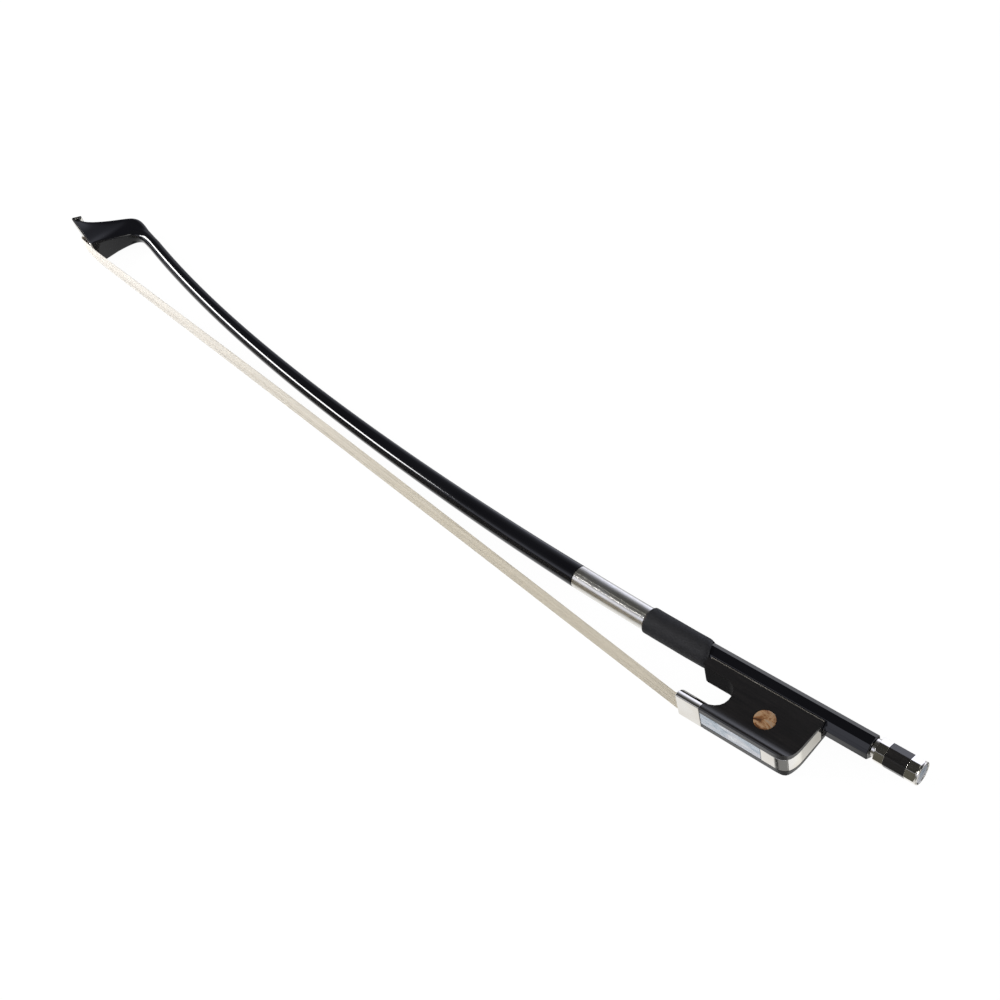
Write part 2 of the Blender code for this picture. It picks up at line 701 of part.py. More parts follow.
def make_frog_body(parent):
    """The ebony frog, cut for the stick, the hair, the slide, the plates and the eyes."""
    side = [*THUMB_AND_THROAT, (THUMB_AND_THROAT[-1][0], FROG_BOTTOM), *heel_curve(), FROG_REAR_TOP]
    body = piece("frog_body", *prism_z(side, -FERRULE_HALF_WIDTH - 2, FERRULE_HALF_WIDTH + 2),
                 parent, MATERIALS["ebony"])
    cheeks = [*CHEEK, *[(y, -z) for y, z in reversed(CHEEK)]]
    combine(body, "INTERSECT", helper("cheeks", prism_x(cheeks, FROG_FRONT - 1, 0.0), parent))
    arch = [[(x, y, z) for y, z in ferrule_outline(inset_by)]
            for x, inset_by in zip((FERRULE[1] + SEAM, ARCH_BACK), ARCH_INSETS)]
    combine(body, "UNION", helper("arch", skin(arch), parent))
    tongue = prism_x(ferrule_outline(FERRULE_WALL + 0.3, TONGUE_FLOOR), TONGUE_FRONT, ARCH_BACK - 3)
    combine(body, "UNION", helper("tongue", tongue, parent))
    channel = prism_x(octagon(CHANNEL_FLATS), FROG_FRONT - 3, 3.0)
    combine(body, "DIFFERENCE", helper("stick_channel", channel, parent))

    groove = [
        (FROG_BOTTOM - 2, -GROOVE_HALF_WIDTHS[0]), (FROG_BOTTOM - 2, GROOVE_HALF_WIDTHS[0]),
        (GROOVE_Y[0], GROOVE_HALF_WIDTHS[0]), (GROOVE_Y[1], GROOVE_HALF_WIDTHS[1]),
        (GROOVE_Y[1], -GROOVE_HALF_WIDTHS[1]), (GROOVE_Y[0], -GROOVE_HALF_WIDTHS[0]),
    ]
    combine(body, "DIFFERENCE", helper("slide_groove", prism_x(groove, FERRULE[1] - 2, GROOVE_END), parent))
    hair = box((FERRULE[1] - 2, FROG_MORTISE[0] + 1), (GROOVE_Y[1] - 0.5, HAIR_CHANNEL_TOP),
               (-HAIR_CHANNEL_HALF_WIDTH, HAIR_CHANNEL_HALF_WIDTH))
    combine(body, "DIFFERENCE", helper("hair_channel", hair, parent))
    mortise = box(FROG_MORTISE, (GROOVE_Y[1] - 0.5, FROG_MORTISE_TOP),
                  (-FROG_MORTISE_HALF_WIDTH, FROG_MORTISE_HALF_WIDTH))
    combine(body, "DIFFERENCE", helper("frog_mortise", mortise, parent))

    curve = [(GROOVE_END, FROG_BOTTOM), *heel_curve(), heel_point_at(HEEL_PLATE_TOP + 0.2)]
    recess = [*inset(curve, HEEL_PLATE_RECESS), *reversed(inset(curve, -2.0))]
    half = HEEL_PLATE_HALF_WIDTH + HEEL_SIDE_GAP
    combine(body, "DIFFERENCE", helper("heel_recess", prism_z(recess, -half, half), parent))
    stem = cylinder_y(STEM_HOLE_RADIUS, (STEM_END - 0.4, CHANNEL_DRILLING_Y[1]), STEM_SIDES)
    combine(body, "DIFFERENCE", helper("stem_hole", stem, parent, (EYELET_X, 0.0, 0.0)))
    for name, x in UNDERSLIDE_PINS.items():
        hole = cylinder_y(PIN_HOLE_RADIUS, (PIN_Y[0] - 0.4, CHANNEL_DRILLING_Y[1]), PIN_SIDES)
        combine(body, "DIFFERENCE", helper(f"pin_hole_{name}", hole, parent, (x, 0.0, 0.0)))
    for name, way in EYE_SIDES.items():
        seat = eye_disc(EYE_RADIUS + EYE_GAP, -EYE_THICKNESS - EYE_GAP, 2.0)
        combine(body, "DIFFERENCE", helper(f"eye_seat_{name}", seat, parent, *eye_place(way)))


def cylinder_y(radius, y_range, sides):
    """A cylinder along Y about its own origin."""
    rings = []
    for y in y_range:
        rings.append([(radius * math.cos(a), y, radius * math.sin(a))
                      for a in (2.0 * math.pi * side / sides for side in range(sides))])
    return skin(rings)


def eye_disc(radius, low, high, sides=ROUND_SIDES):
    """A disc along Z about its own origin."""
    rings = []
    for z in (low, high):
        rings.append([(radius * math.cos(a), radius * math.sin(a), z)
                      for a in (2.0 * math.pi * side / sides for side in range(sides))])
    return skin(rings)


def eye_place(way):
    """Where an eye's face lies on a cheek, and how it is turned: way is 1 near, -1 far."""
    place = (EYE_PLACE[0], EYE_PLACE[1], way * EYE_HEIGHT)
    turn = (-EYE_TILT, 0.0, 0.0) if way > 0 else (math.pi + EYE_TILT, 0.0, 0.0)
    return place, turn


def make_eyes(parent):
    """The two pearl eyes, each on its own cheek."""
    for name, way in EYE_SIDES.items():
        place, turn = eye_place(way)
        piece(f"frog_eye_{name}", *eye_disc(EYE_RADIUS, -EYE_THICKNESS, 0.0), parent,
              MATERIALS["gold_pearl"], place, turn)


def make_ferrule(parent):
    """The D ring, and the wedge in it that spreads the hair."""
    outer, inner = ferrule_outline(0.0), ferrule_outline(FERRULE_WALL)
    low, high = FERRULE
    rings = [at_x(low, inner), at_x(low, outer), at_x(high, outer), at_x(high, inner)]
    piece("ferrule", *skin(rings, closed=True), parent, MATERIALS["nickel"])
    rings = [
        [(x, WEDGE_TOP, upper), (x, WEDGE_TOP, -upper), (x, bottom, -lower), (x, bottom, lower)]
        for x, (bottom, upper, lower) in zip(WEDGE, (WEDGE_FRONT, WEDGE_BACK))
    ]
    piece("hair_wedge", *skin(rings), parent, MATERIALS["maple"])


def make_slide(parent):
    """The pearl strip and the dovetailed slide that it is glued to."""
    pearl = box(SLIDE, (FROG_BOTTOM, PEARL_TOP), (-PEARL_HALF_WIDTH, PEARL_HALF_WIDTH))
    piece("pearl_slide", *pearl, parent, MATERIALS["pearl"])
    (low, high), (narrow, wide) = BACKING_Y, BACKING_HALF_WIDTHS
    backing = [(low, -narrow), (low, narrow), (high, wide), (high, -wide)]
    piece("slide_backing", *prism_x(backing, *SLIDE), parent, MATERIALS["ebony"])


def make_frog_fillings(parent):
    """The block in the frog's mortise and the bound end of the hair above it."""
    block = box((FROG_MORTISE[0] + 1.2, FROG_MORTISE[1] - 0.3), FROG_PLUG_Y,
                (-FROG_MORTISE_HALF_WIDTH + 0.4, FROG_MORTISE_HALF_WIDTH - 0.4))
    piece("frog_plug", *block, parent, MATERIALS["maple"])
    knot = box((FROG_MORTISE[0] + 0.3, FROG_MORTISE[0] + 8.6), FROG_KNOT_Y,
               (-FROG_KNOT_HALF_WIDTH, FROG_KNOT_HALF_WIDTH))
    piece("frog_hair_knot", *knot, parent, MATERIALS["thread"])


def make_heel_plate(parent):
    """The heel plate in two pieces, which meet in the bend."""
    outer = [(HEEL_PLATE_START, FROG_BOTTOM), *heel_curve(), heel_point_at(HEEL_PLATE_TOP)]
    inner = inset(outer, HEEL_PLATE_THICKNESS)
    seam = HEEL_SEAM_STEP + 1
    before, after = Vector(outer[seam - 1]), Vector(outer[seam + 1])
    step = (after - before).normalized() * SEAM
    beyond = [tuple(Vector(run[seam]) + step) for run in (outer, inner)]
    lower = [*outer[:seam + 1], *reversed(inner[:seam + 1])]
    rear = [beyond[0], *outer[seam + 1:], *reversed(inner[seam + 1:]), beyond[1]]
    for name, outline in (("heel_plate_lower", lower), ("heel_plate_rear", rear)):
        sheet = prism_z(outline, -HEEL_PLATE_HALF_WIDTH, HEEL_PLATE_HALF_WIDTH)
        piece(name, *sheet, parent, MATERIALS["nickel"])


def channel_outline(flats):
    """The three lower facets of an octagon, cut off level a little above the frog's top."""
    half, side = flats / 2, flats / 2 * math.tan(math.pi / 8)
    reach = UNDERSLIDE_TOP + half + side
    return [(UNDERSLIDE_TOP, reach), (-half, side), (-half, -side), (UNDERSLIDE_TOP, -reach)]


def make_underslide(parent):
    """The lining of the frog's channel and its two pins."""
    outline = [*channel_outline(UNDERSLIDE_OUTER_FLATS), *reversed(channel_outline(UNDERSLIDE_INNER_FLATS))]
    lining = piece("underslide", *prism_x(outline, *UNDERSLIDE), parent, MATERIALS["nickel"])
    stem = cylinder_y(STEM_HOLE_RADIUS, CHANNEL_DRILLING_Y, STEM_SIDES)
    combine(lining, "DIFFERENCE", helper("underslide_stem_hole", stem, parent, (EYELET_X, 0.0, 0.0)))
    for name, x in UNDERSLIDE_PINS.items():
        hole = cylinder_y(PIN_HOLE_RADIUS, CHANNEL_DRILLING_Y, PIN_SIDES)
        combine(lining, "DIFFERENCE", helper(f"underslide_hole_{name}", hole, parent, (x, 0.0, 0.0)))
        pin = cylinder_y(PIN_RADIUS, PIN_Y, PIN_SIDES)
        piece(f"underslide_pin_{name}", *pin, parent, MATERIALS["brass"], (x, 0.0, 0.0))


def make_eyelet(parent):
    """The brass nut on the screw, with the stem that screws into the frog."""
    sides = 12
    outline = [(EYELET_FOOT, EYELET_HALF_WIDTH)]
    outline += [
        (ADJUSTER_RISE + EYELET_HALF_WIDTH * math.sin(a), EYELET_HALF_WIDTH * math.cos(a))
        for a in (math.pi * side / sides for side in range(sides + 1))
    ]
    outline.append((EYELET_FOOT, -EYELET_HALF_WIDTH))
    nut = piece("eyelet", *prism_x(outline, -EYELET_HALF_LENGTH, EYELET_HALF_LENGTH), parent,
                MATERIALS["brass"], (EYELET_X, 0.0, 0.0))
    stem = cylinder_y(STEM_RADIUS, (STEM_END, EYELET_FOOT + 1.0), STEM_SIDES)
    combine(nut, "UNION", helper("eyelet_stem", stem, parent, (EYELET_X, 0.0, 0.0)))
    hole = turned([(-4.0, EYELET_HOLE_RADIUS), (4.0, EYELET_HOLE_RADIUS)], sides=BORE_SIDES)
    combine(nut, "DIFFERENCE", helper("eyelet_hole", hole, parent, (EYELET_X, ADJUSTER_RISE, 0.0)))


def make_screw(parent):
    """The screw: tang in the button, shank, threaded length and nose."""
    stations = [
        (SCREW_TANG[1], TANG_RADIUS), (SCREW_TANG[0], TANG_RADIUS), (SCREW_TANG[0] - 0.3, SHANK_RADIUS),
        (SHANK_END, SHANK_RADIUS), (SHANK_END - 1.0, THREAD_RADIUS), (THREAD_END, THREAD_RADIUS),
        (THREAD_END - 0.4, SCREW_NOSE_RADIUS), (SCREW_END + 0.6, SCREW_NOSE_RADIUS),
        (SCREW_END, SCREW_NOSE_RADIUS - 0.5),
    ]
    piece("adjuster_screw", *turned(stations, sides=BORE_SIDES), parent, MATERIALS["steel"])


def make_button(parent):
    """The button: front ring, ebony middle, rear ring and the pearl in its end."""
    turn = (BUTTON_TURN, 0.0, 0.0)
    full, broken = octagon(BUTTON_FLATS), octagon(BUTTON_FLATS - 2 * EDGE_BREAK)
    front = [
        (NECK[0], SCREW_BORE_RADIUS), (NECK[0], NECK_RADIUS - EDGE_BREAK),
        (NECK[0] + EDGE_BREAK, NECK_RADIUS), (NECK[1], NECK_RADIUS),
        (NECK[1], broken), (NECK[1] + EDGE_BREAK, full),
        (FRONT_COLLAR_END - SEAM - EDGE_BREAK, full), (FRONT_COLLAR_END - SEAM, broken),
        (FRONT_COLLAR_END - SEAM, SPIGOT_BORE_RADIUS), (SPIGOT_START - 0.3, SPIGOT_BORE_RADIUS),
        (SPIGOT_START - 0.3, SCREW_BORE_RADIUS),
    ]
    piece("button_front_collar", *turned(front, closed=True), parent, MATERIALS["nickel"], turn=turn)
    core = [
        (SCREW_TANG[1] + 0.3, TANG_HOLE_RADIUS), (SPIGOT_START, TANG_HOLE_RADIUS),
        (SPIGOT_START, SPIGOT_RADIUS), (FRONT_COLLAR_END, SPIGOT_RADIUS),
        (FRONT_COLLAR_END, broken), (FRONT_COLLAR_END + EDGE_BREAK, full),
        (CORE_END - EDGE_BREAK, full), (CORE_END, broken),
        (CORE_END, SPIGOT_RADIUS), (PEARL_SEAT - 0.3, SPIGOT_RADIUS),
    ]
    piece("button_core", *turned(core), parent, MATERIALS["ebony"], turn=turn)
    rear = [
        (CORE_END + SEAM, SPIGOT_BORE_RADIUS), (CORE_END + SEAM, broken),
        (CORE_END + SEAM + EDGE_BREAK, full), (REAR_COLLAR_END, full),
        (REAR_COLLAR_END + 0.5, RIM_RADIUS - 0.15), (RIM_END - 0.4, RIM_RADIUS),
        (RIM_END - 0.1, RIM_RADIUS - 0.25), (RIM_END, PEARL_BORE_RADIUS + 0.3),
        (RIM_END - 0.1, PEARL_BORE_RADIUS), (PEARL_SEAT, PEARL_BORE_RADIUS),
        (PEARL_SEAT, SPIGOT_BORE_RADIUS),
    ]
    piece("button_rear_collar", *turned(rear, closed=True), parent, MATERIALS["nickel"], turn=turn)
    disc = [(PEARL_SEAT + 0.25, PEARL_RADIUS), (RIM_END - 0.3, PEARL_RADIUS),
            (RIM_END - 0.1, PEARL_RADIUS - 0.4)]
    piece("button_pearl", *turned(disc), parent, MATERIALS["pearl"], turn=turn)


def main():
    """Build the bow in its three moving groups."""
    bow = empty("bow", None, BOW_PLACE)
    frog = empty("frog", bow)
    adjuster = empty("adjuster", bow, (0.0, ADJUSTER_RISE, 0.0))
    make_stick(bow)
    make_head_plate(bow)
    make_head_plug(bow)
    make_hair(bow)
    make_leather(bow)
    make_winding(bow)
    make_frog_body(frog)
    make_ferrule(frog)
    make_slide(frog)
    make_frog_fillings(frog)
    make_heel_plate(frog)
    make_underslide(frog)
    make_eyes(frog)
    make_eyelet(frog)
    make_screw(adjuster)
    make_button(adjuster)


remove_scene_objects()
MATERIALS = {
    "carbon": material("carbon", (0.012, 0.012, 0.014), 0.12),
    "ebony": material("ebony", (0.013, 0.012, 0.012), 0.32),
    "nickel": material("nickel", (0.78, 0.76, 0.72), 0.14, 1.0),
    "silver": material("silver", (0.85, 0.84, 0.82), 0.2, 1.0),
    "leather": material("leather", (0.016, 0.015, 0.015), 0.7),
    "hair": material("hair", (0.72, 0.66, 0.54), 0.45),
    "maple": material("maple", (0.5, 0.33, 0.17), 0.6),
    "thread": material("thread", (0.45, 0.38, 0.28), 0.8),
    "pearl": material("pearl", (0.62, 0.66, 0.7), 0.18),
    "gold_pearl": material("gold_pearl", (0.45, 0.28, 0.14), 0.2),
    "brass": material("brass", (0.7, 0.5, 0.22), 0.3, 1.0),
    "steel": material("steel", (0.55, 0.55, 0.56), 0.25, 1.0),
    "guide": material("guide", (0.2, 0.5, 0.9), 0.5),
}
main()
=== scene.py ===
"""A double bass bow, dressed for its picture: lacquer, ebony, silver, shell and horsehair.

Lengths in the bow's own axes are millimetres. X runs along the handle towards the
button and is 0 at the handle's end, Y points to the stick's back, Z across the bow.
"""
import math

import bmesh
import bpy
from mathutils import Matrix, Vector


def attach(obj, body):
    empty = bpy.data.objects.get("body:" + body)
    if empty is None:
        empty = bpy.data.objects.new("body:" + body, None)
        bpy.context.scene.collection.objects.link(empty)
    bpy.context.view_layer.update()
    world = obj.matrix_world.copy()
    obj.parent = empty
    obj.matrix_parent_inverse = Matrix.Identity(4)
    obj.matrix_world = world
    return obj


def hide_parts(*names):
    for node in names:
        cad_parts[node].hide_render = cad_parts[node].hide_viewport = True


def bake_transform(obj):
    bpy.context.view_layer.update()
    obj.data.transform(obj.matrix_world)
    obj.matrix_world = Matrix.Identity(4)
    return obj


bl_info = {
    "name": "Double bass bow",
    "version": (1, 0, 0),
    "blender": (4, 5, 0),
    "location": "View3D > Sidebar > Bow",
    "description": "Builds the bow's pieces, their finishes and the stage it lies on",
    "category": "Object",
}

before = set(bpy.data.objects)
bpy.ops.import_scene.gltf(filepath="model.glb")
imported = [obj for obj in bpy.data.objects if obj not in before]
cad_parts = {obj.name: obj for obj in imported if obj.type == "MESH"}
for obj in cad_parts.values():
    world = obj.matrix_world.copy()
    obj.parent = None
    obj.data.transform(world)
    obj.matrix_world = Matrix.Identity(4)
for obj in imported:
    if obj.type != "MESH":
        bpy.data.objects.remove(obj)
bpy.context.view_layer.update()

MM = 0.001
BOW_PLACE = (337.95, -22.8, 9.05)

# Stick
HANDLE_FLATS = 11.6
HANDLE_END_CHAMFER = 0.4
HANDLE_FRONT = -86.5
ROUND_FROM = -104.0
UNDER_LEATHER_RADIUS = 6.22
CAMBER_START = -87.0
CAMBER_SPAN = 560.0
CAMBER = (86.4, -58.1, 45.5)
SHAFT_TAPER = (6.9, -4.16, 0.6, 0.82)
SHAFT_END = -618.0
HEAD_THROAT = (
    ((-624.2, 62.1), (-621.9, 70.1), 4.15, 4.15, 0.0),
    ((-630.0, 63.3), (-628.6, 71.8), 4.2, 4.1, 0.15),
    ((-634.6, 63.0), (-634.6, 73.4), 4.3, 4.0, 0.45),
    ((-638.6, 60.8), (-640.4, 75.3), 4.6, 3.8, 0.75),
    ((-642.6, 56.0), (-646.0, 76.8), 5.3, 3.6, 0.95),
    ((-646.4, 50.0), (-651.4, 77.2), 6.4, 3.4, 1.0),
    ((-649.6, 43.6), (-656.2, 75.9), 7.9, 3.2, 1.0),
    ((-652.3, 37.3), (-660.6, 73.2), 8.9, 3.0, 1.0),
)
HEAD_FACE = (
    (6.0, (-665.6, 69.4), 7.8, 2.9),
    (14.0, (-671.0, 65.4), 6.7, 2.8),
    (22.5, (-677.0, 61.4), 5.8, 2.7),
    (31.0, (-683.5, 57.8), 4.8, 2.5),
    (38.5, (-689.4, 55.6), 3.9, 2.2),
    (46.4, (-695.0, 54.7), 3.0, 1.9),
)
CHEEK_HOLLOW = 1.3
THROAT_RIDGE = 0.35
HEEL_CORNER = (-652.3, 37.3)
FACE_SLOPE = math.radians(17.4)
MORTISE = (8.0, 20.5, 8.0, 3.9)
HAIR_EXIT = 19.8

# Bores and slot
SCREW_BORE = (-43.0, 2.3)
PILOT_BORE = (-57.2, -80.0, 1.85)
EYELET_SLOT = (-58.2, -42.0, 4.2, 3.6)
ADJUSTER_RISE = 0.65

# Grip
LEATHER = (-127.5, -88.0)
LEATHER_RADII = (6.58, 7.2)
LEATHER_SKIVE = 3.2
LEATHER_SLANT = 0.42
LEATHER_SLANT_FROM = -3.2
WINDING = (-175.1, -127.9)
WINDING_SEAT = (-175.5, -127.6)
WINDING_SEAT_RADIUS = 5.55
WINDING_OUTER_RADIUS = 6.28

# Frog metal
FERRULE = (-87.3, -74.0)
FERRULE_HALF_WIDTH = 8.95
FERRULE_BOTTOM = -31.6
FERRULE_TOP = -23.9
FERRULE_SHOULDER = -30.6
FERRULE_ROUNDNESS = 1.8
FERRULE_CORNER = 0.8
FERRULE_WALL = 0.9

# Frog
THROAT = ((-88.0, -9.0), (-64.5, -23.5))

# Eyes
EYE_PLACE = (-45.7, -18.5, 7.34)
EYE_RADIUS = 5.35
EYE_THICKNESS = 1.2
EYE_TILT = math.radians(2.8)

# Button
BUTTON_FLATS = 11.35
BUTTON_TURN = math.radians(18.0)
SCREW_HOLE_RADIUS = 2.3
SEAM = 0.15
NECK = (0.3, 2.4, 4.5)
FRONT_COLLAR_END = 7.4
CORE_END = 17.8
REAR_COLLAR_END = 22.9
RIM_END = 24.3
RIM_RADIUS = 5.95
SPIGOT = (3.6, 4.2, 4.5)
TANG = (15.3, 2.0)
PEARL_SEAT = 22.8
PEARL_RADII = (4.7, 4.95)

# Hair
HAIR_STRAIGHT = ((-640.0, 34.0), (-88.6, -29.8))
HAIR_BOW = 1.0
HAIR_HALF_WIDTHS = (7.0, 8.5, 7.7)

# Studio: greys of the cards by their angle about X, in degrees from straight up towards +Y, and
# how cool each is
CARDS = (
    (-154, 0.9, 0.0), (-125, 0.6, 0.0), (-103, 0.085, -1.4), (-86, 0.14, -0.3), (-74, 0.6, 0.7),
    (-62, 0.95, 1.0), (-50, 0.4, 1.0), (-35, 0.08, 0.0), (-10, 0.03, -0.5), (30, 0.05, 0.0),
    (46, 0.15, 0.5), (60, 0.5, 1.0),
    (72, 1.3, 1.0), (92, 1.4, 1.0), (112, 0.6, 0.5), (128, 0.4, 0.0), (141, 0.12, 0.0), (152, 0.12, 0.0),
    (162, 0.95, -0.2),
)
# Flags and reflectors: where each is, the angles from there at which it is full and gone, and its share
FLAGS = (
    ((0.15, -0.45, -0.88), 18.5, 22.0, 0.24),
    ((-0.2, -0.43, -0.88), 2.0, 5.0, 0.05),
    ((-0.8, 0.58, 0.16), 20.0, 34.0, 0.2),
    ((0.35, -0.2, 0.9), 8.0, 20.0, 60.0),
)


def bow(x, y, z):
    """A point in the bow's own millimetres, in the ground frame's metres."""
    return Vector((x + BOW_PLACE[0], y + BOW_PLACE[1], z + BOW_PLACE[2])) * MM


def paint(red, green, blue):
    """A colour as it is seen, from 0 to 255, as the light that it sends back."""
    seen = [channel / 255 for channel in (red, green, blue)]
    return (*[c / 12.92 if c < 0.04045 else ((c + 0.055) / 1.055) ** 2.4 for c in seen], 1.0)


# Node trees

def place(tree, kind, inputs=None, **settings):
    """A node with its settings and its inputs, each a value or another node's socket."""
    node = tree.nodes.new(kind)
    for name, value in settings.items():
        setattr(node, name, value)
    for key, value in (inputs or {}).items():
        if isinstance(value, bpy.types.NodeSocket):
            tree.links.new(value, node.inputs[key])
        else:
            node.inputs[key].default_value = value
    return node


def calc(tree, operation, *values):
    """A sum on numbers, each a value or another node's socket."""
    return place(tree, "ShaderNodeMath", dict(enumerate(values)), operation=operation)


def calc_vector(tree, operation, *values):
    """A sum on vectors, each a value or another node's socket."""
    return place(tree, "ShaderNodeVectorMath", dict(enumerate(values)), operation=operation)


def shader_group(name, inputs, outputs):
    """An empty shader group with named sockets, and its input and output nodes."""
    tree = bpy.data.node_groups.new(name, "ShaderNodeTree")
    for label, kind, default in inputs:
        socket = tree.interface.new_socket(label, in_out="INPUT", socket_type=kind)
        if default is not None:
            socket.default_value = default
    for label, kind in outputs:
        tree.interface.new_socket(label, in_out="OUTPUT", socket_type=kind)
    return tree, place(tree, "NodeGroupInput"), place(tree, "NodeGroupOutput")


def handling_group():
    """Faint wiping marks and a slow unevenness, as on any polished surface that is used."""
    tree, start, end = shader_group(
        "Handling",
        [("Vector", "NodeSocketVector", None), ("Mark Size", "NodeSocketFloat", 300.0),
         ("Uneven Size", "NodeSocketFloat", 40.0)],
        [("Marks", "NodeSocketFloat"), ("Height", "NodeSocketFloat")],
    )
    stretch = place(tree, "ShaderNodeMapping", {"Vector": start.outputs["Vector"], "Scale": (0.25, 1.0, 1.0)})
    marks = place(tree, "ShaderNodeTexNoise", {
        "Vector": stretch.outputs["Vector"], "Scale": start.outputs["Mark Size"],
        "Detail": 6.0, "Roughness": 0.62})
    slow = place(tree, "ShaderNodeTexNoise", {
        "Vector": start.outputs["Vector"], "Scale": start.outputs["Uneven Size"], "Detail": 2.0})
    both = calc(tree, "MULTIPLY", marks.outputs["Fac"], slow.outputs["Fac"])
    sharp = place(tree, "ShaderNodeMapRange", {"Value": both.outputs[0], "From Min": 0.15, "From Max": 0.42})
    tree.links.new(sharp.outputs["Result"], end.inputs["Marks"])
    tree.links.new(slow.outputs["Fac"], end.inputs["Height"])
    return tree


def fibre_group():
    """Long streaks along X: wood grain, wire drawing lines, or the run of a skin."""
    tree, start, end = shader_group(
        "Fibre",
        [("Vector", "NodeSocketVector", None), ("Along", "NodeSocketFloat", 20.0),
         ("Across", "NodeSocketFloat", 900.0)],
        [("Streaks", "NodeSocketFloat"), ("Pores", "NodeSocketFloat")],
    )
    scale = place(tree, "ShaderNodeCombineXYZ", {
        "X": start.outputs["Along"], "Y": start.outputs["Across"], "Z": start.outputs["Across"]})
    run = calc_vector(tree, "MULTIPLY", start.outputs["Vector"], scale.outputs[0])
    streaks = place(tree, "ShaderNodeTexNoise", {
        "Vector": run.outputs[0], "Scale": 1.0, "Detail": 5.0, "Roughness": 0.6, "Distortion": 0.3})
    fine = calc_vector(tree, "MULTIPLY", run.outputs[0], (3.0, 3.5, 3.5))
    pores = place(tree, "ShaderNodeTexVoronoi", {"Vector": fine.outputs[0], "Scale": 1.0})
    deep = place(tree, "ShaderNodeMapRange", {
        "Value": pores.outputs["Distance"], "From Min": 0.08, "From Max": 0.3})
    tree.links.new(streaks.outputs["Fac"], end.inputs["Streaks"])
    tree.links.new(deep.outputs["Result"], end.inputs["Pores"])
    return tree


def shell_group():
    """The figure of mother of pearl: wavy layers broken by cloudy patches."""
    tree, start, end = shader_group(
        "Shell",
        [("Vector", "NodeSocketVector", None), ("Layers", "NodeSocketFloat", 260.0),
         ("Clouds", "NodeSocketFloat", 160.0), ("Wander", "NodeSocketFloat", 4.0),
         ("Stretch", "NodeSocketFloat", 1.0)],
        [("Layers", "NodeSocketFloat"), ("Clouds", "NodeSocketFloat")],
    )
    scale = place(tree, "ShaderNodeCombineXYZ", {"X": start.outputs["Stretch"], "Y": 1.0, "Z": 1.0})
    drawn = calc_vector(tree, "MULTIPLY", start.outputs["Vector"], scale.outputs[0])
    layers = place(tree, "ShaderNodeTexWave", {
        "Vector": start.outputs["Vector"], "Scale": start.outputs["Layers"],
        "Distortion": start.outputs["Wander"], "Detail": 3.0, "Detail Scale": 1.4,
    }, wave_type="BANDS", bands_direction="DIAGONAL")
    clouds = place(tree, "ShaderNodeTexNoise", {
        "Vector": drawn.outputs[0], "Scale": start.outputs["Clouds"],
        "Detail": 4.0, "Roughness": 0.65, "Distortion": 1.1})
    tree.links.new(layers.outputs["Fac"], end.inputs["Layers"])
    tree.links.new(clouds.outputs["Fac"], end.inputs["Clouds"])
    return tree


def skin_group():
    """Leather's small cells and the creases between them."""
    tree, start, end = shader_group(
        "Skin",
        [("Vector", "NodeSocketVector", None), ("Cells", "NodeSocketFloat", 1500.0)],
        [("Creases", "NodeSocketFloat"), ("Height", "NodeSocketFloat")],
    )
    warp = place(tree, "ShaderNodeTexNoise", {
        "Vector": start.outputs["Vector"], "Scale": 700.0, "Detail": 3.0})
    shift = place(tree, "ShaderNodeVectorMath", {
        0: warp.outputs["Color"], "Scale": 0.0006}, operation="SCALE")
    where = calc_vector(tree, "ADD", start.outputs["Vector"], shift.outputs[0])
    cells = place(tree, "ShaderNodeTexVoronoi", {
        "Vector": where.outputs[0], "Scale": start.outputs["Cells"]}, feature="DISTANCE_TO_EDGE")
    creases = place(tree, "ShaderNodeMapRange", {
        "Value": cells.outputs["Distance"], "From Max": 0.22}, interpolation_type="SMOOTHSTEP")
    fine = place(tree, "ShaderNodeTexNoise", {
        "Vector": start.outputs["Vector"], "Scale": 4200.0, "Detail": 2.0})
    height = calc(tree, "MULTIPLY_ADD", fine.outputs["Fac"], 0.3, creases.outputs["Result"])
    tree.links.new(creases.outputs["Result"], end.inputs["Creases"])
    tree.links.new(height.outputs[0], end.inputs["Height"])
    return tree


GROUP_MAKERS = {"Handling": handling_group, "Fibre": fibre_group, "Shell": shell_group, "Skin": skin_group}


def grouped(tree, name, inputs):
    """A shared group placed in a material, made once when it is first wanted."""
    group = bpy.data.node_groups.get(name) or GROUP_MAKERS[name]()
    node = place(tree, "ShaderNodeGroup", node_tree=group)
    node.inputs["Vector"].default_value = (0.0, 0.0, 0.0)
    spot = place(tree, "ShaderNodeTexCoord")
    tree.links.new(spot.outputs["Object"], node.inputs["Vector"])
    for key, value in inputs.items():
        node.inputs[key].default_value = value
    return node


def finish(name, colour, roughness, **sockets):
    """A material whose Principled shader has these plain values."""
    made = bpy.data.materials.new(name)
    made.use_nodes = True
    surface = made.node_tree.nodes["Principled BSDF"]
    surface.inputs["Base Color"].default_value = colour
    surface.inputs["Roughness"].default_value = roughness
    for key, value in sockets.items():
        surface.inputs[key.replace("_", " ")].default_value = value
    made.diffuse_color = colour
    return made, made.node_tree, surface


def tint(tree, surface, mask, low, high, low_at=0.3, high_at=0.7, between=()):
    """Drive the base colour from a mask, between two colours and through any others."""
    ramp = place(tree, "ShaderNodeValToRGB", {"Fac": mask})
    ramp.color_ramp.elements[0].position, ramp.color_ramp.elements[0].color = low_at, low
    ramp.color_ramp.elements[1].position, ramp.color_ramp.elements[1].color = high_at, high
    for at, colour in between:
        ramp.color_ramp.elements.new(at).color = colour
    tree.links.new(ramp.outputs["Color"], surface.inputs["Base Color"])


def roughen(tree, surface, mask, low, high):
    """Drive the roughness from a mask."""
    spread = place(tree, "ShaderNodeMapRange", {"Value": mask, "To Min": low, "To Max": high})
    tree.links.new(spread.outputs["Result"], surface.inputs["Roughness"])


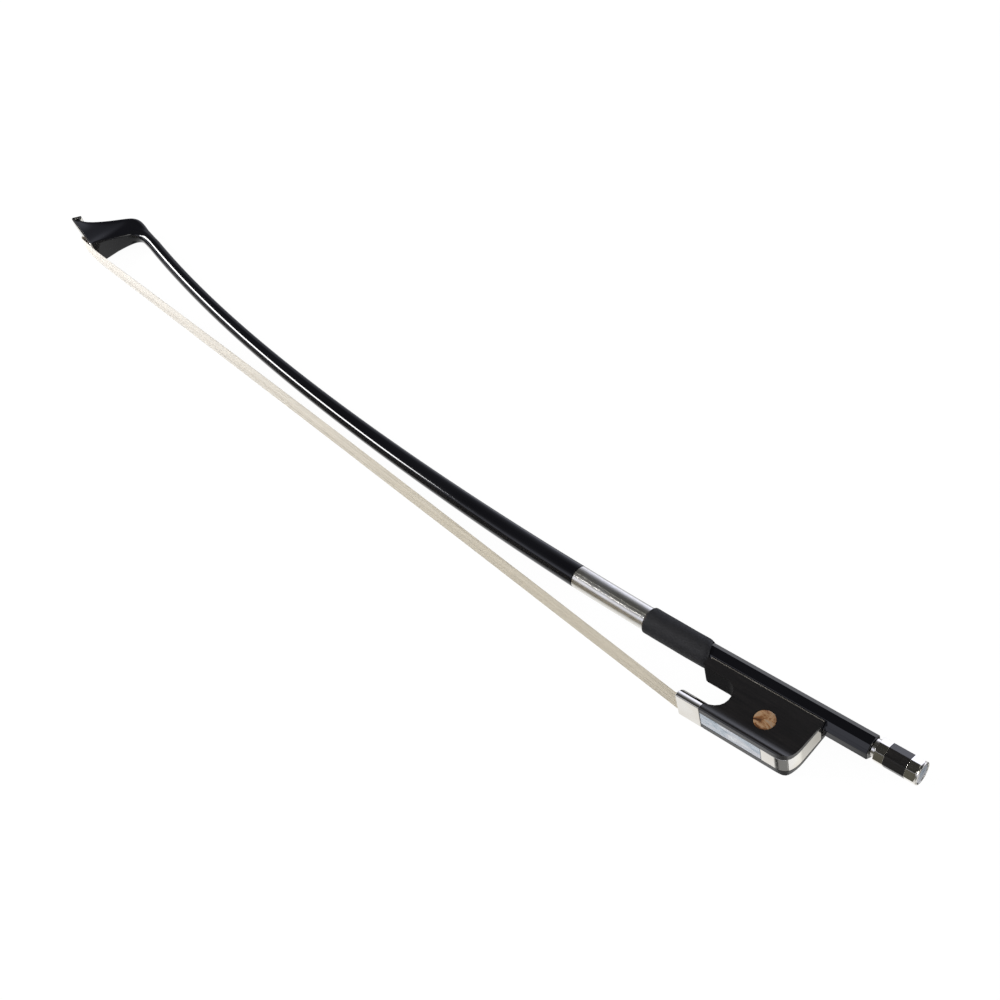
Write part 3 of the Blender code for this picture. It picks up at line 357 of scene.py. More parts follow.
def raise_surface(tree, surface, height, distance, strength=1.0):
    """Give the surface a relief from a height, whose full size is a distance in metres."""
    bump = place(tree, "ShaderNodeBump", {"Height": height, "Distance": distance, "Strength": strength})
    tree.links.new(bump.outputs["Normal"], surface.inputs["Normal"])


# Finishes

def lacquer():
    """The stick's clear-coated black composite."""
    made, tree, surface = finish("Stick lacquer", paint(14, 14, 18), 0.08, IOR=1.5)
    use = grouped(tree, "Handling", {"Mark Size": 420.0, "Uneven Size": 24.0})
    roughen(tree, surface, use.outputs["Marks"], 0.05, 0.11)
    tint(tree, surface, use.outputs["Height"], paint(11, 11, 15), paint(17, 17, 21))
    raise_surface(tree, surface, use.outputs["Height"], 0.00002, 0.5)
    return made


def ebony():
    """Oiled ebony with its fine pores."""
    made, tree, surface = finish("Oiled ebony", paint(18, 16, 16), 0.3, IOR=1.66)
    grain = grouped(tree, "Fibre", {"Along": 60.0, "Across": 1100.0})
    tint(tree, surface, grain.outputs["Streaks"], paint(13, 12, 13), paint(31, 27, 26), 0.35, 0.85)
    roughen(tree, surface, grain.outputs["Streaks"], 0.24, 0.36)
    raise_surface(tree, surface, grain.outputs["Pores"], 0.00001, 0.5)
    return made


def nickel_silver():
    """Polished nickel silver, faintly warm, with wiping marks."""
    made, tree, surface = finish("Nickel silver", paint(235, 231, 224), 0.12, Metallic=1.0)
    use = grouped(tree, "Handling", {"Mark Size": 900.0, "Uneven Size": 70.0})
    tint(tree, surface, use.outputs["Height"], paint(229, 224, 215), paint(241, 239, 234))
    roughen(tree, surface, use.outputs["Marks"], 0.07, 0.17)
    return made


def silver_wire():
    """Bright silver wire, darker down between its turns."""
    made, tree, surface = finish("Silver wire", paint(240, 239, 236), 0.2, Metallic=1.0)
    use = grouped(tree, "Handling", {"Mark Size": 1400.0, "Uneven Size": 90.0})
    tint(tree, surface, use.outputs["Marks"], paint(236, 233, 226), paint(245, 244, 242))
    roughen(tree, surface, use.outputs["Height"], 0.22, 0.28)
    return made


def dull_nickel():
    """Nickel silver as it is left where it isn't polished."""
    made, tree, surface = finish("Dull nickel silver", paint(196, 190, 180), 0.5, Metallic=1.0)
    use = grouped(tree, "Handling", {"Mark Size": 900.0, "Uneven Size": 70.0})
    tint(tree, surface, use.outputs["Height"], paint(186, 180, 168), paint(204, 199, 190))
    roughen(tree, surface, use.outputs["Marks"], 0.45, 0.6)
    return made


def throat_shade_ebony():
    """Ebony inside the thumb's cut, with its reflection all but taken away and its grain a little darker:
    painted shade, for the shaded floor that these faces mirror.
    """
    # Painted shade: almost no reflection and a slightly darker grain keep the inside of the cut dark.
    made, tree, surface = finish("Throat ebony, painted shade", paint(17, 16, 17), 0.4, IOR=1.5, Specular_IOR_Level=0.01)
    grain = grouped(tree, "Fibre", {"Along": 60.0, "Across": 1100.0})
    tint(tree, surface, grain.outputs["Streaks"], paint(13, 13, 14), paint(27, 25, 25), 0.35, 0.85)
    roughen(tree, surface, grain.outputs["Streaks"], 0.35, 0.5)
    return made


def grip_leather():
    """Matt black thumb leather with a fine grain."""
    made, tree, surface = finish("Grip leather", paint(24, 24, 28), 0.6, IOR=1.45)
    skin = grouped(tree, "Skin", {"Cells": 1500.0})
    # Painted shade: the base colour is darker down in the creases between the cells.
    tint(tree, surface, skin.outputs["Creases"], paint(16, 16, 19), paint(27, 27, 32), 0.0, 1.0)
    roughen(tree, surface, skin.outputs["Creases"], 0.76, 0.54)
    raise_surface(tree, surface, skin.outputs["Height"], 0.00006, 0.8)
    return made


def leather_edge():
    """The cut edge of the thumb leather, brown where the dye ends."""
    made, tree, surface = finish("Leather edge", paint(84, 62, 48), 0.85)
    skin = grouped(tree, "Skin", {"Cells": 2600.0})
    # Painted shade: the brown is darker down in the creases between the cells.
    tint(tree, surface, skin.outputs["Creases"], paint(52, 38, 30), paint(98, 74, 58), 0.0, 1.0)
    raise_surface(tree, surface, skin.outputs["Height"], 0.00005, 0.7)
    return made


def horsehair():
    """Natural horsehair, each hair with its own shade, deeper towards the frog."""
    made, tree, surface = finish("Horsehair", paint(222, 212, 192), 0.42, IOR=1.5)
    own = place(tree, "ShaderNodeAttribute", attribute_name="hair_shade")
    shade = place(tree, "ShaderNodeValToRGB", {"Fac": own.outputs["Fac"]})
    shade.color_ramp.elements[0].position, shade.color_ramp.elements[0].color = 0.15, paint(218, 211, 200)
    shade.color_ramp.elements[1].position, shade.color_ramp.elements[1].color = 0.8, paint(232, 229, 223)
    along = place(tree, "ShaderNodeTexCoord")
    station = place(tree, "ShaderNodeSeparateXYZ", {"Vector": along.outputs["Object"]})
    # The hairs grow darker and yellower from the head end towards the frog.
    towards_frog = place(tree, "ShaderNodeMapRange", {
        "Value": station.outputs["X"], "From Min": -0.28, "From Max": 0.12, "To Min": 0.0, "To Max": 0.8},
        interpolation_type="SMOOTHSTEP")
    deeper = place(tree, "ShaderNodeMix", data_type="RGBA")
    factor, pale, deep = deeper.inputs[0], deeper.inputs[6], deeper.inputs[7]
    tree.links.new(towards_frog.outputs["Result"], factor)
    tree.links.new(shade.outputs["Color"], pale)
    deep.default_value = paint(197, 188, 168)
    tree.links.new(deeper.outputs[2], surface.inputs["Base Color"])
    roughen(tree, surface, own.outputs["Fac"], 0.6, 0.72)
    return made


def bare_maple():
    """Bare maple for the wedges and the plugs."""
    made, tree, surface = finish("Bare maple", paint(196, 160, 118), 0.6)
    grain = grouped(tree, "Fibre", {"Along": 90.0, "Across": 700.0})
    tint(tree, surface, grain.outputs["Streaks"], paint(168, 130, 90), paint(212, 180, 140))
    raise_surface(tree, surface, grain.outputs["Pores"], 0.00002, 0.6)
    return made


def bound_thread():
    """Waxed thread bound round the ends of the hair."""
    made, tree, surface = finish("Waxed thread", paint(182, 158, 122), 0.75)
    turns = grouped(tree, "Fibre", {"Along": 2200.0, "Across": 60.0})
    tint(tree, surface, turns.outputs["Streaks"], paint(150, 124, 88), paint(205, 186, 152))
    raise_surface(tree, surface, turns.outputs["Streaks"], 0.00008, 0.8)
    return made


def pearl():
    """White mother of pearl with blue-grey layers."""
    made, tree, surface = finish("White pearl", paint(198, 208, 216), 0.14, IOR=1.53, Coat_Weight=0.3)
    figure = grouped(tree, "Shell", {"Layers": 150.0, "Clouds": 210.0, "Wander": 9.0, "Stretch": 0.3})
    tint(tree, surface, figure.outputs["Clouds"], paint(120, 136, 150), paint(214, 220, 222),
         between=((0.46, paint(176, 187, 197)), (0.56, paint(192, 193, 200))))
    roughen(tree, surface, figure.outputs["Layers"], 0.1, 0.24)
    raise_surface(tree, surface, figure.outputs["Layers"], 0.000015, 0.4)
    return made


def gold_pearl():
    """Gold and brown shell for the eyes."""
    made, tree, surface = finish("Gold shell", paint(170, 128, 84), 0.16, IOR=1.53, Coat_Weight=0.3)
    figure = grouped(tree, "Shell", {"Layers": 120.0, "Clouds": 150.0, "Wander": 12.0, "Stretch": 0.8})
    tint(tree, surface, figure.outputs["Clouds"], paint(66, 42, 28), paint(238, 226, 208), 0.38, 0.7, (
        (0.46, paint(126, 84, 50)), (0.53, paint(166, 132, 98)), (0.6, paint(146, 126, 106))))
    roughen(tree, surface, figure.outputs["Layers"], 0.12, 0.3)
    return made


def turned_brass():
    """Brass as it comes from the lathe."""
    made, tree, surface = finish("Turned brass", paint(206, 168, 98), 0.3, Metallic=1.0)
    lines = grouped(tree, "Fibre", {"Along": 2600.0, "Across": 40.0})
    roughen(tree, surface, lines.outputs["Streaks"], 0.2, 0.42)
    tint(tree, surface, lines.outputs["Streaks"], paint(190, 150, 84), paint(218, 184, 118))
    return made


def turned_steel():
    """Steel as it comes from the lathe."""
    made, tree, surface = finish("Turned steel", paint(170, 171, 174), 0.25, Metallic=1.0)
    lines = grouped(tree, "Fibre", {"Along": 2600.0, "Across": 40.0})
    roughen(tree, surface, lines.outputs["Streaks"], 0.16, 0.36)
    tint(tree, surface, lines.outputs["Streaks"], paint(150, 151, 155), paint(190, 191, 194))
    return made


FINISH_MAKERS = {
    "carbon": lacquer, "ebony": ebony, "nickel": nickel_silver, "silver": silver_wire,
    "dull_nickel": dull_nickel, "throat_shade_ebony": throat_shade_ebony,
    "leather": grip_leather, "leather_edge": leather_edge, "hair": horsehair, "maple": bare_maple,
    "thread": bound_thread, "pearl": pearl, "gold_pearl": gold_pearl, "brass": turned_brass,
    "steel": turned_steel,
}
FINISHES = {}


def finished(name):
    """A finish by name, made once when it is first wanted."""
    if name not in FINISHES:
        FINISHES[name] = FINISH_MAKERS[name]()
    return FINISHES[name]


# Shapes

def skin(rings, closed=False):
    """Points and faces over rings of equal count, capped unless they close a loop."""
    count = len(rings[0])
    points = [point for ring in rings for point in ring]
    faces = []
    spans = len(rings) if closed else len(rings) - 1
    for span in range(spans):
        first = span * count
        second = ((span + 1) % len(rings)) * count
        for side in range(count):
            after = (side + 1) % count
            faces.append((first + side, first + after, second + after, second + side))
    if not closed:
        faces.append(tuple(range(count)))
        faces.append(tuple(range(len(points) - count, len(points))))
    return points, faces


def polygon(radius_at, sides):
    """Points in Y and Z whose radius is a function of the angle from +Z."""
    angles = [2.0 * math.pi * side / sides for side in range(sides)]
    return [(radius_at(angle) * math.sin(angle), radius_at(angle) * math.cos(angle)) for angle in angles]


def circle(radius, sides):
    """A circle in Y and Z."""
    return polygon(lambda angle: radius, sides)


def octagon(flats, sides):
    """An octagon in Y and Z with flats facing the axes, given across its flats."""
    def radius_at(angle):
        return 0.5 * flats / math.cos((angle + math.pi / 8) % (math.pi / 4) - math.pi / 8)
    return polygon(radius_at, sides)


def mesh_object(name, points, faces, origin=(0.0, 0.0, 0.0), turn=0.0):
    """A mesh object from the bow's millimetres, turned about X at an origin."""
    mesh = bpy.data.meshes.new(name)
    cos, sin = math.cos(turn), math.sin(turn)
    mesh.from_pydata([
        bow(origin[0] + x, origin[1] + y * cos - z * sin, origin[2] + y * sin + z * cos)
        for x, y, z in points
    ], [], faces)
    shape = bmesh.new()
    shape.from_mesh(mesh)
    bmesh.ops.recalc_face_normals(shape, faces=shape.faces)
    shape.to_mesh(mesh)
    shape.free()
    made = bpy.data.objects.new(name, mesh)
    bpy.context.collection.objects.link(made)
    return made


def baked(made):
    """The object with its modifiers turned into its mesh."""
    bpy.context.view_layer.update()
    evaluated = made.evaluated_get(bpy.context.evaluated_depsgraph_get())
    mesh = bpy.data.meshes.new_from_object(evaluated)
    made.modifiers.clear()
    made.data = mesh
    return made


def soften(made, width, segments=2, angle=35.0, weighted=True):
    """Break the sharp edges by a width in millimetres and bake the result."""
    edge = made.modifiers.new("edge", "BEVEL")
    edge.width = width * MM
    edge.segments = segments
    edge.limit_method = "ANGLE"
    edge.angle_limit = math.radians(angle)
    edge.use_clamp_overlap = True
    made.data.shade_smooth()
    made.data.set_sharp_from_angle(angle=math.radians(50))
    if weighted:
        made.modifiers.new("even", "WEIGHTED_NORMAL").keep_sharp = True
    return baked(made)


def cut(made, *cutters):
    """Cut other shapes out of a piece, and remove them."""
    for cutter in cutters:
        step = made.modifiers.new(cutter.name, "BOOLEAN")
        step.operation = "DIFFERENCE"
        step.solver = "EXACT"
        step.object = cutter
    baked(made)
    for cutter in cutters:
        bpy.data.objects.remove(cutter)
    return made


def settle(made, body, finish_name, *nodes, slot=None):
    """Give a finished piece its material, its body and the nodes that it stands for."""
    made.data.materials.clear()
    made.data.materials.append(finished(finish_name))
    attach(made, body)
    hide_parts(*nodes)
    return made


def rounded_copy(node, name, width, segments=2, angle=35.0):
    """A node's own shape with its doubles merged and its edges broken."""
    shape = bmesh.new()
    shape.from_mesh(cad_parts[node].data)
    bmesh.ops.remove_doubles(shape, verts=shape.verts, dist=0.000005)
    bmesh.ops.dissolve_limit(
        shape, angle_limit=math.radians(0.4), verts=shape.verts, edges=shape.edges)
    mesh = bpy.data.meshes.new(name)
    shape.to_mesh(mesh)
    shape.free()
    made = bpy.data.objects.new(name, mesh)
    bpy.context.collection.objects.link(made)
    return soften(made, width, segments, angle)


def dress(node, finish_name):
    """Give a kept node its material."""
    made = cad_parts[node]
    if not made.material_slots:
        made.data.materials.append(None)
    for place_ in made.material_slots:
        place_.material = finished(finish_name)


def stick_axis(x):
    """Height of the shaft's axis and its slope at a station."""
    u = (CAMBER_START - x) / CAMBER_SPAN
    square, cube, fourth = CAMBER
    height = square * u**2 + cube * u**3 + fourth * u**4
    slope = (2 * square * u + 3 * cube * u**2 + 4 * fourth * u**3) / CAMBER_SPAN
    return height, math.atan(slope)


def shaft_radius(x):
    """The shaft's radius, which tapers towards the head."""
    u = (CAMBER_START - x) / CAMBER_SPAN
    return sum(term * u**power for power, term in enumerate(SHAFT_TAPER))


def shaft_ring(x, radius, sides):
    """A round section of the shaft, square to its axis."""
    height, lean = stick_axis(x)
    return [(x + s * math.sin(lean), height + s * math.cos(lean), z) for s, z in circle(radius, sides)]


def face_point(along, depth):
    """A point from its place along the head's face and its depth behind that face."""
    x = HEEL_CORNER[0] - along * math.cos(FACE_SLOPE) + depth * math.sin(FACE_SLOPE)
    y = HEEL_CORNER[1] + along * math.sin(FACE_SLOPE) + depth * math.cos(FACE_SLOPE)
    return x, y


def hatchet_outline(length, half_face, half_back, squareness, ridge, sides):
    """A section of the head: a flat face with broken ridges, cheeks that draw in, and a round back."""
    span = sides // 4
    outline = []
    for side, (round_s, round_z) in enumerate(circle(1.0, sides)):
        if span / 2 <= side <= 3 * span / 2:
            sweep = (side - span / 2) / span * math.pi
            s = length / 2 - half_back * (1.0 - math.sin(sweep))
            z = half_back * math.cos(sweep)
        elif 5 * span / 2 <= side <= 7 * span / 2:
            s = -length / 2
            z = half_face * (side - 3 * span) / (span / 2)
        else:
            if span / 2 < side < 5 * span / 2:
                rise = (5 * span / 2 - side) / span
            else:
                rise = ((side - 7 * span / 2) % sides) / span
            s = -length / 2 + rise * (length - half_back)
            draw_in = (1.0 - rise) ** CHEEK_HOLLOW
            z = math.copysign(half_back + (half_face - half_back) * draw_in, round_z)
        round_s *= length / 2
        round_z *= (half_face + half_back) / 2
        if 2 * side in (5 * span, 7 * span):
            s += ridge
            z -= math.copysign(ridge, z)
        outline.append((round_s + squareness * (s - round_s), round_z + squareness * (z - round_z)))
    return outline


def head_ring(face, back, half_face, half_back, squareness, ridge, sides):
    """A section of the head between its throat or face point and its back point."""
    reach = Vector(back) - Vector(face)
    middle = (Vector(back) + Vector(face)) / 2
    along = reach.normalized()
    outline = hatchet_outline(reach.length, half_face, half_back, squareness, ridge, sides)
    return [(middle.x + s * along.x, middle.y + s * along.y, z) for s, z in outline]


def smoothed(stations, steps):
    """Stations with more between them, on a smooth curve through all of them."""
    flat = [(*face, *back, *rest) for face, back, *rest in stations]
    rows = [flat[0], *flat, flat[-1]]
    smooth = []
    for before, start, end, after in zip(rows, rows[1:], rows[2:], rows[3:]):
        for step in range(steps):
            t = step / steps
            smooth.append([
                0.5 * (2 * b + (c - a) * t + (2 * a - 5 * b + 4 * c - d) * t**2
                       + (3 * b - a - 3 * c + d) * t**3)
                for a, b, c, d in zip(before, start, end, after)
            ])
    smooth.append(list(rows[-1]))
    return [(row[0:2], row[2:4], *row[4:]) for row in smooth]


def round_bar(name, stations, sides, origin=(0.0, 0.0, 0.0)):
    """A plain turned bar along X from (x, radius) stations."""
    rings = [[(x, y, z) for y, z in circle(radius, sides)] for x, radius in stations]
    return mesh_object(name, *skin(rings), origin)


def block(name, x_range, y_range, z_range):
    """A box between pairs of coordinates."""
    rings = [[(x, y_range[0], z_range[0]), (x, y_range[1], z_range[0]),
              (x, y_range[1], z_range[1]), (x, y_range[0], z_range[1])] for x in x_range]
    return mesh_object(name, *skin(rings))


# Pieces

class StickSettings(bpy.types.PropertyGroup):
    """How finely the stick is made."""
    sides: bpy.props.IntProperty(
        name="Sides", description="Points round the stick, in eights", default=64, min=32, max=128)
    shaft_steps: bpy.props.IntProperty(
        name="Shaft steps", description="Sections along the shaft", default=60, min=20, max=200)
    head_steps: bpy.props.IntProperty(
        name="Head steps", description="Sections between two of the head's stations", default=6,
        min=2, max=12)
    edge: bpy.props.FloatProperty(
        name="Edge", description="Width of the broken edges", default=0.00022, min=0.0, max=0.001,
        unit="LENGTH", precision=5)


class GripSettings(bpy.types.PropertyGroup):
    """The winding and the thumb leather."""
    turns: bpy.props.IntProperty(
        name="Turns", description="Turns of silver wire", default=148, min=40, max=200)
    wire: bpy.props.FloatProperty(
        name="Wire", description="Diameter of the silver wire", default=0.00031, min=0.0001, max=0.001,
        unit="LENGTH", precision=5)
    leather_steps: bpy.props.IntProperty(
        name="Leather steps", description="Sections along the thumb leather", default=60, min=20, max=200)


class HairSettings(bpy.types.PropertyGroup):
    """The ribbon of horsehair."""
    hairs: bpy.props.IntProperty(
        name="Hairs", description="Hairs across the ribbon", default=210, min=40, max=320)
    hair: bpy.props.FloatProperty(
        name="Hair", description="Diameter of one hair", default=0.00024, min=0.0001, max=0.0006,
        unit="LENGTH", precision=5)
    depth: bpy.props.FloatProperty(
        name="Depth", description="Thickness of the ribbon", default=0.00042, min=0.0001, max=0.001,
        unit="LENGTH", precision=5)
    seed: bpy.props.IntProperty(name="Seed", description="How the hairs lie", default=5)


class FrogSettings(bpy.types.PropertyGroup):
    """The frog's wood and metal."""
    ebony_edge: bpy.props.FloatProperty(
        name="Ebony edge", description="Width of the frog's broken edges", default=0.0004, min=0.0,
        max=0.002, unit="LENGTH", precision=5)
    metal_edge: bpy.props.FloatProperty(
        name="Metal edge", description="Width of the metal's broken edges", default=0.00014, min=0.0,
        max=0.001, unit="LENGTH", precision=5)


class ButtonSettings(bpy.types.PropertyGroup):
    """The screw's button."""
    sides: bpy.props.IntProperty(
        name="Sides", description="Points round the button, in eights", default=96, min=32, max=192)
    edge: bpy.props.FloatProperty(
        name="Edge", description="Width of the broken edges", default=0.00009, min=0.0, max=0.001,
        unit="LENGTH", precision=5)


class StageSettings(bpy.types.PropertyGroup):
    """The camera, the floor and the light."""
    lens: bpy.props.FloatProperty(
        name="Lens", description="Focal length in millimetres", default=50.0, min=20.0, max=200.0)
    floor: bpy.props.FloatVectorProperty(
        name="Floor", description="Colour of the floor", subtype="COLOR", default=(0.9, 0.9, 0.9),
        min=0.0, max=1.0)
    strip_light: bpy.props.FloatProperty(
        name="Strip light", description="Power of the narrow light in watts", default=42.0, min=0.0,
        max=300.0, unit="POWER")


class BOW_OT_stick(bpy.types.Operator):
    """Make the stick: octagonal handle, tapering shaft and hatchet head"""
    bl_idname = "bow.stick"
    bl_label = "Stick"

    def execute(self, context):
        use = context.scene.bow_stick
        sides = use.sides
        octagon_ends = (
            (0.0, HANDLE_FLATS - 2 * HANDLE_END_CHAMFER), (-HANDLE_END_CHAMFER, HANDLE_FLATS),
            (HANDLE_FRONT, HANDLE_FLATS),
        )
        rings = [[(x, y, z) for y, z in octagon(flats, sides)] for x, flats in octagon_ends]
        rings.append([(ROUND_FROM, y, z) for y, z in circle(UNDER_LEATHER_RADIUS, sides)])
        rings += [
            shaft_ring(WINDING_SEAT[1] + SEAM, UNDER_LEATHER_RADIUS, sides),
            shaft_ring(WINDING_SEAT[1], WINDING_SEAT_RADIUS, sides),
            shaft_ring(WINDING_SEAT[0], WINDING_SEAT_RADIUS, sides),
        ]
        shaft_start = WINDING_SEAT[0] - SEAM
        for step in range(use.shaft_steps + 1):
            x = shaft_start + (SHAFT_END - shaft_start) * step / use.shaft_steps
            rings.append(shaft_ring(x, shaft_radius(x), sides))
        throat = smoothed(HEAD_THROAT, use.head_steps)
        nose = [(face_point(along, 0.0), back, wide, narrow, 1.0) for along, back, wide, narrow in HEAD_FACE]
        nose = smoothed([HEAD_THROAT[-1], *nose], use.head_steps)
        rings += [head_ring(*station, THROAT_RIDGE, sides) for station in throat[:-1]]
        rings += [head_ring(*station, 0.0, sides) for station in nose]
        stick = mesh_object("bow_stick", *skin(rings))
        soften(stick, use.edge / MM)

        rise = (0.0, ADJUSTER_RISE, 0.0)
        start, end, depth, half = MORTISE
        corners = [face_point(*corner)
                   for corner in ((start, -3.0), (end, -3.0), (end, depth), (start, depth))]
        mortise = mesh_object("mortise", *skin([[(x, y, z) for x, y in corners] for z in (-half, half)]))
        low, high, top, half = EYELET_SLOT
        cut(
            stick,
            round_bar("screw_bore", [(1.0, SCREW_BORE[1]), (SCREW_BORE[0], SCREW_BORE[1])], 32, rise),
            round_bar("pilot_bore", [(PILOT_BORE[0], PILOT_BORE[2]), (PILOT_BORE[1], PILOT_BORE[2])],
                      32, rise),
            block("slot", (low, high), (-HANDLE_FLATS, top), (-half, half)),
            mortise,
        )
        settle(stick, "stick", "carbon", "stick")
        return {"FINISHED"}


class BOW_OT_head_plate(bpy.types.Operator):
    """Make the head's face plate and dress what fills its window"""
    bl_idname = "bow.head_plate"
    bl_label = "Head plate"

    def execute(self, context):
        edge = context.scene.bow_frog.metal_edge / MM
        settle(rounded_copy("head_plate", "bow_head_plate", edge), "stick", "nickel", "head_plate")
        settle(rounded_copy("head_plug", "bow_head_plug", 0.1), "stick", "maple", "head_plug")
        dress("head_hair_knot", "thread")
        return {"FINISHED"}


def wire_tree():
    """Geometry nodes for a wire wound along X about the origin."""
    tree = bpy.data.node_groups.new("Wire winding", "GeometryNodeTree")
    for label, kind, default in (
        ("Turns", "NodeSocketFloat", 100.0), ("Length", "NodeSocketFloat", 0.05),
        ("Radius", "NodeSocketFloat", 0.006), ("Wire", "NodeSocketFloat", 0.0003),
        ("Finish", "NodeSocketMaterial", None),
    ):
        socket = tree.interface.new_socket(label, in_out="INPUT", socket_type=kind)
        if default is not None:
            socket.default_value = default
    tree.interface.new_socket("Geometry", in_out="OUTPUT", socket_type="NodeSocketGeometry")
    start, end = place(tree, "NodeGroupInput"), place(tree, "NodeGroupOutput")
    spiral = place(tree, "GeometryNodeCurveSpiral", {
        "Resolution": 24, "Rotations": start.outputs["Turns"], "Start Radius": start.outputs["Radius"],
        "End Radius": start.outputs["Radius"], "Height": start.outputs["Length"]})
    along = place(tree, "GeometryNodeTransform", {
        "Geometry": spiral.outputs["Curve"], "Rotation": (0.0, math.pi / 2, 0.0)})
    half = calc(tree, "MULTIPLY", start.outputs["Wire"], 0.5)
    section = place(tree, "GeometryNodeCurvePrimitiveCircle", {"Resolution": 8, "Radius": half.outputs[0]})
    wire = place(tree, "GeometryNodeCurveToMesh", {
        "Curve": along.outputs["Geometry"], "Profile Curve": section.outputs["Curve"], "Fill Caps": True})
    real = place(tree, "GeometryNodeRealizeInstances", {"Geometry": wire.outputs["Mesh"]})
    smooth = place(tree, "GeometryNodeSetShadeSmooth", {"Geometry": real.outputs["Geometry"]})
    painted = place(tree, "GeometryNodeSetMaterial", {
        "Geometry": smooth.outputs["Geometry"], "Material": start.outputs["Finish"]})
    tree.links.new(painted.outputs["Geometry"], end.inputs["Geometry"])
    return tree


def set_inputs(modifier, values):
    """Set a geometry nodes modifier's inputs by their sockets' names."""
    for item in modifier.node_group.interface.items_tree:
        if item.item_type == "SOCKET" and item.in_out == "INPUT" and item.name in values:
            modifier[item.identifier] = values[item.name]


class BOW_OT_winding(bpy.types.Operator):
    """Wind the silver wire round the stick in front of the leather"""
    bl_idname = "bow.winding"
    bl_label = "Silver winding"

    def execute(self, context):
        use = context.scene.bow_grip
        low, high = WINDING
        wire = bpy.data.objects.new("bow_winding", bpy.data.meshes.new("bow_winding"))
        bpy.context.collection.objects.link(wire)
        wound = wire.modifiers.new("wire", "NODES")
        wound.node_group = wire_tree()
        set_inputs(wound, {
            "Turns": float(use.turns), "Length": (high - low) * MM - use.wire,
            "Radius": WINDING_OUTER_RADIUS * MM - use.wire / 2, "Wire": use.wire,
            "Finish": finished("silver"),
        })
        baked(wire)
        for point in wire.data.vertices:
            x = low + (point.co.x + use.wire / 2) / MM
            height, lean = stick_axis(x)
            y, z = point.co.y / MM, point.co.z / MM
            point.co = bow(x + y * math.sin(lean), height + y * math.cos(lean), z)
        bed = mesh_object("bow_winding_bed", *skin(
            [shaft_ring(x, WINDING_OUTER_RADIUS - use.wire / MM * 0.1, 64)
             for x in [low + 0.1 + (high - low - 0.2) * step / 12 for step in range(13)]]
        ))
        bed.data.shade_smooth()
        bed.data.set_sharp_from_angle(angle=math.radians(50))
        cut(bed, mesh_object("bed_core", *skin(
            [shaft_ring(x, WINDING_SEAT_RADIUS + 0.03, 48)
             for x in [low - 2.0 + (high - low + 4.0) * step / 12 for step in range(13)]])))
        settle(bed, "stick", "silver", "silver_winding")
        settle(wire, "stick", "silver", "silver_winding")
        return {"FINISHED"}


class BOW_OT_leather(bpy.types.Operator):
    """Wrap the thumb leather round the stick"""
    bl_idname = "bow.leather"
    bl_label = "Thumb leather"

    def execute(self, context):
        use = context.scene.bow_grip
        sides = 96
        low, high = LEATHER
        inner, outer = LEATHER_RADII
        wall = outer - inner
        stations = [(low, inner, 0.0), (low - 0.02, inner + 0.3 * wall, 0.0),
                    (low + 0.1, outer - 0.38 * wall, 0.0), (low + 0.3, outer - 0.16 * wall, 0.0),
                    (low + 0.62, outer - 0.02, 0.0)]
        body_end = high - LEATHER_SKIVE
        for step in range(1, use.leather_steps):
            x = low + 0.62 + (body_end - low - 0.62) * step / use.leather_steps
            stations.append((x, outer, 1.0))
        for step in range(9):
            t = step / 8
            drop = (outer - inner - 0.1) * (1.0 - math.cos(t * math.pi / 2)) ** 0.9
            stations.append((body_end + LEATHER_SKIVE * t, outer - drop, 1.0))
        stations.append((high, inner, 1.0))
        rings = []
        for x, radius, slanted in stations:
            ring = []
            share = slanted * max(0.0, (x - (body_end - 12.0)) / (high - body_end + 12.0))
            for side, (at, y, z) in enumerate(shaft_ring(x, 1.0, sides)):
                height, _ = stick_axis(x)
                angle = 2.0 * math.pi * side / sides
                here = radius
                if slanted and radius > inner + 0.05:
                    here += 0.05 * math.sin(3 * angle + 0.11 * x) * math.sin(0.23 * x) - 0.03
                    overlap = math.radians(146.0)
                    away = math.atan2(math.sin(angle - overlap), math.cos(angle - overlap))
                    here -= 0.16 * math.exp(-(away / 0.035) ** 2)
                spot_y, spot_z = (y - height) * here, z * here
                slant = LEATHER_SLANT * max(height + spot_y - LEATHER_SLANT_FROM, 0.0) * share
                ring.append((x + (at - x) * here - slant, height + spot_y, spot_z))
            rings.append(ring)
        leather = mesh_object("bow_leather", *skin(rings, closed=True))
        leather.data.shade_smooth()
        leather.data.set_sharp_from_angle(angle=math.radians(60))
        settle(leather, "stick", "leather", "leather_grip")
        leather.data.materials.append(finished("leather_edge"))
        edge = (low + 0.16 + BOW_PLACE[0]) * MM
        for face in leather.data.polygons:
            if face.center.x < edge:
                face.material_index = 1
        return {"FINISHED"}


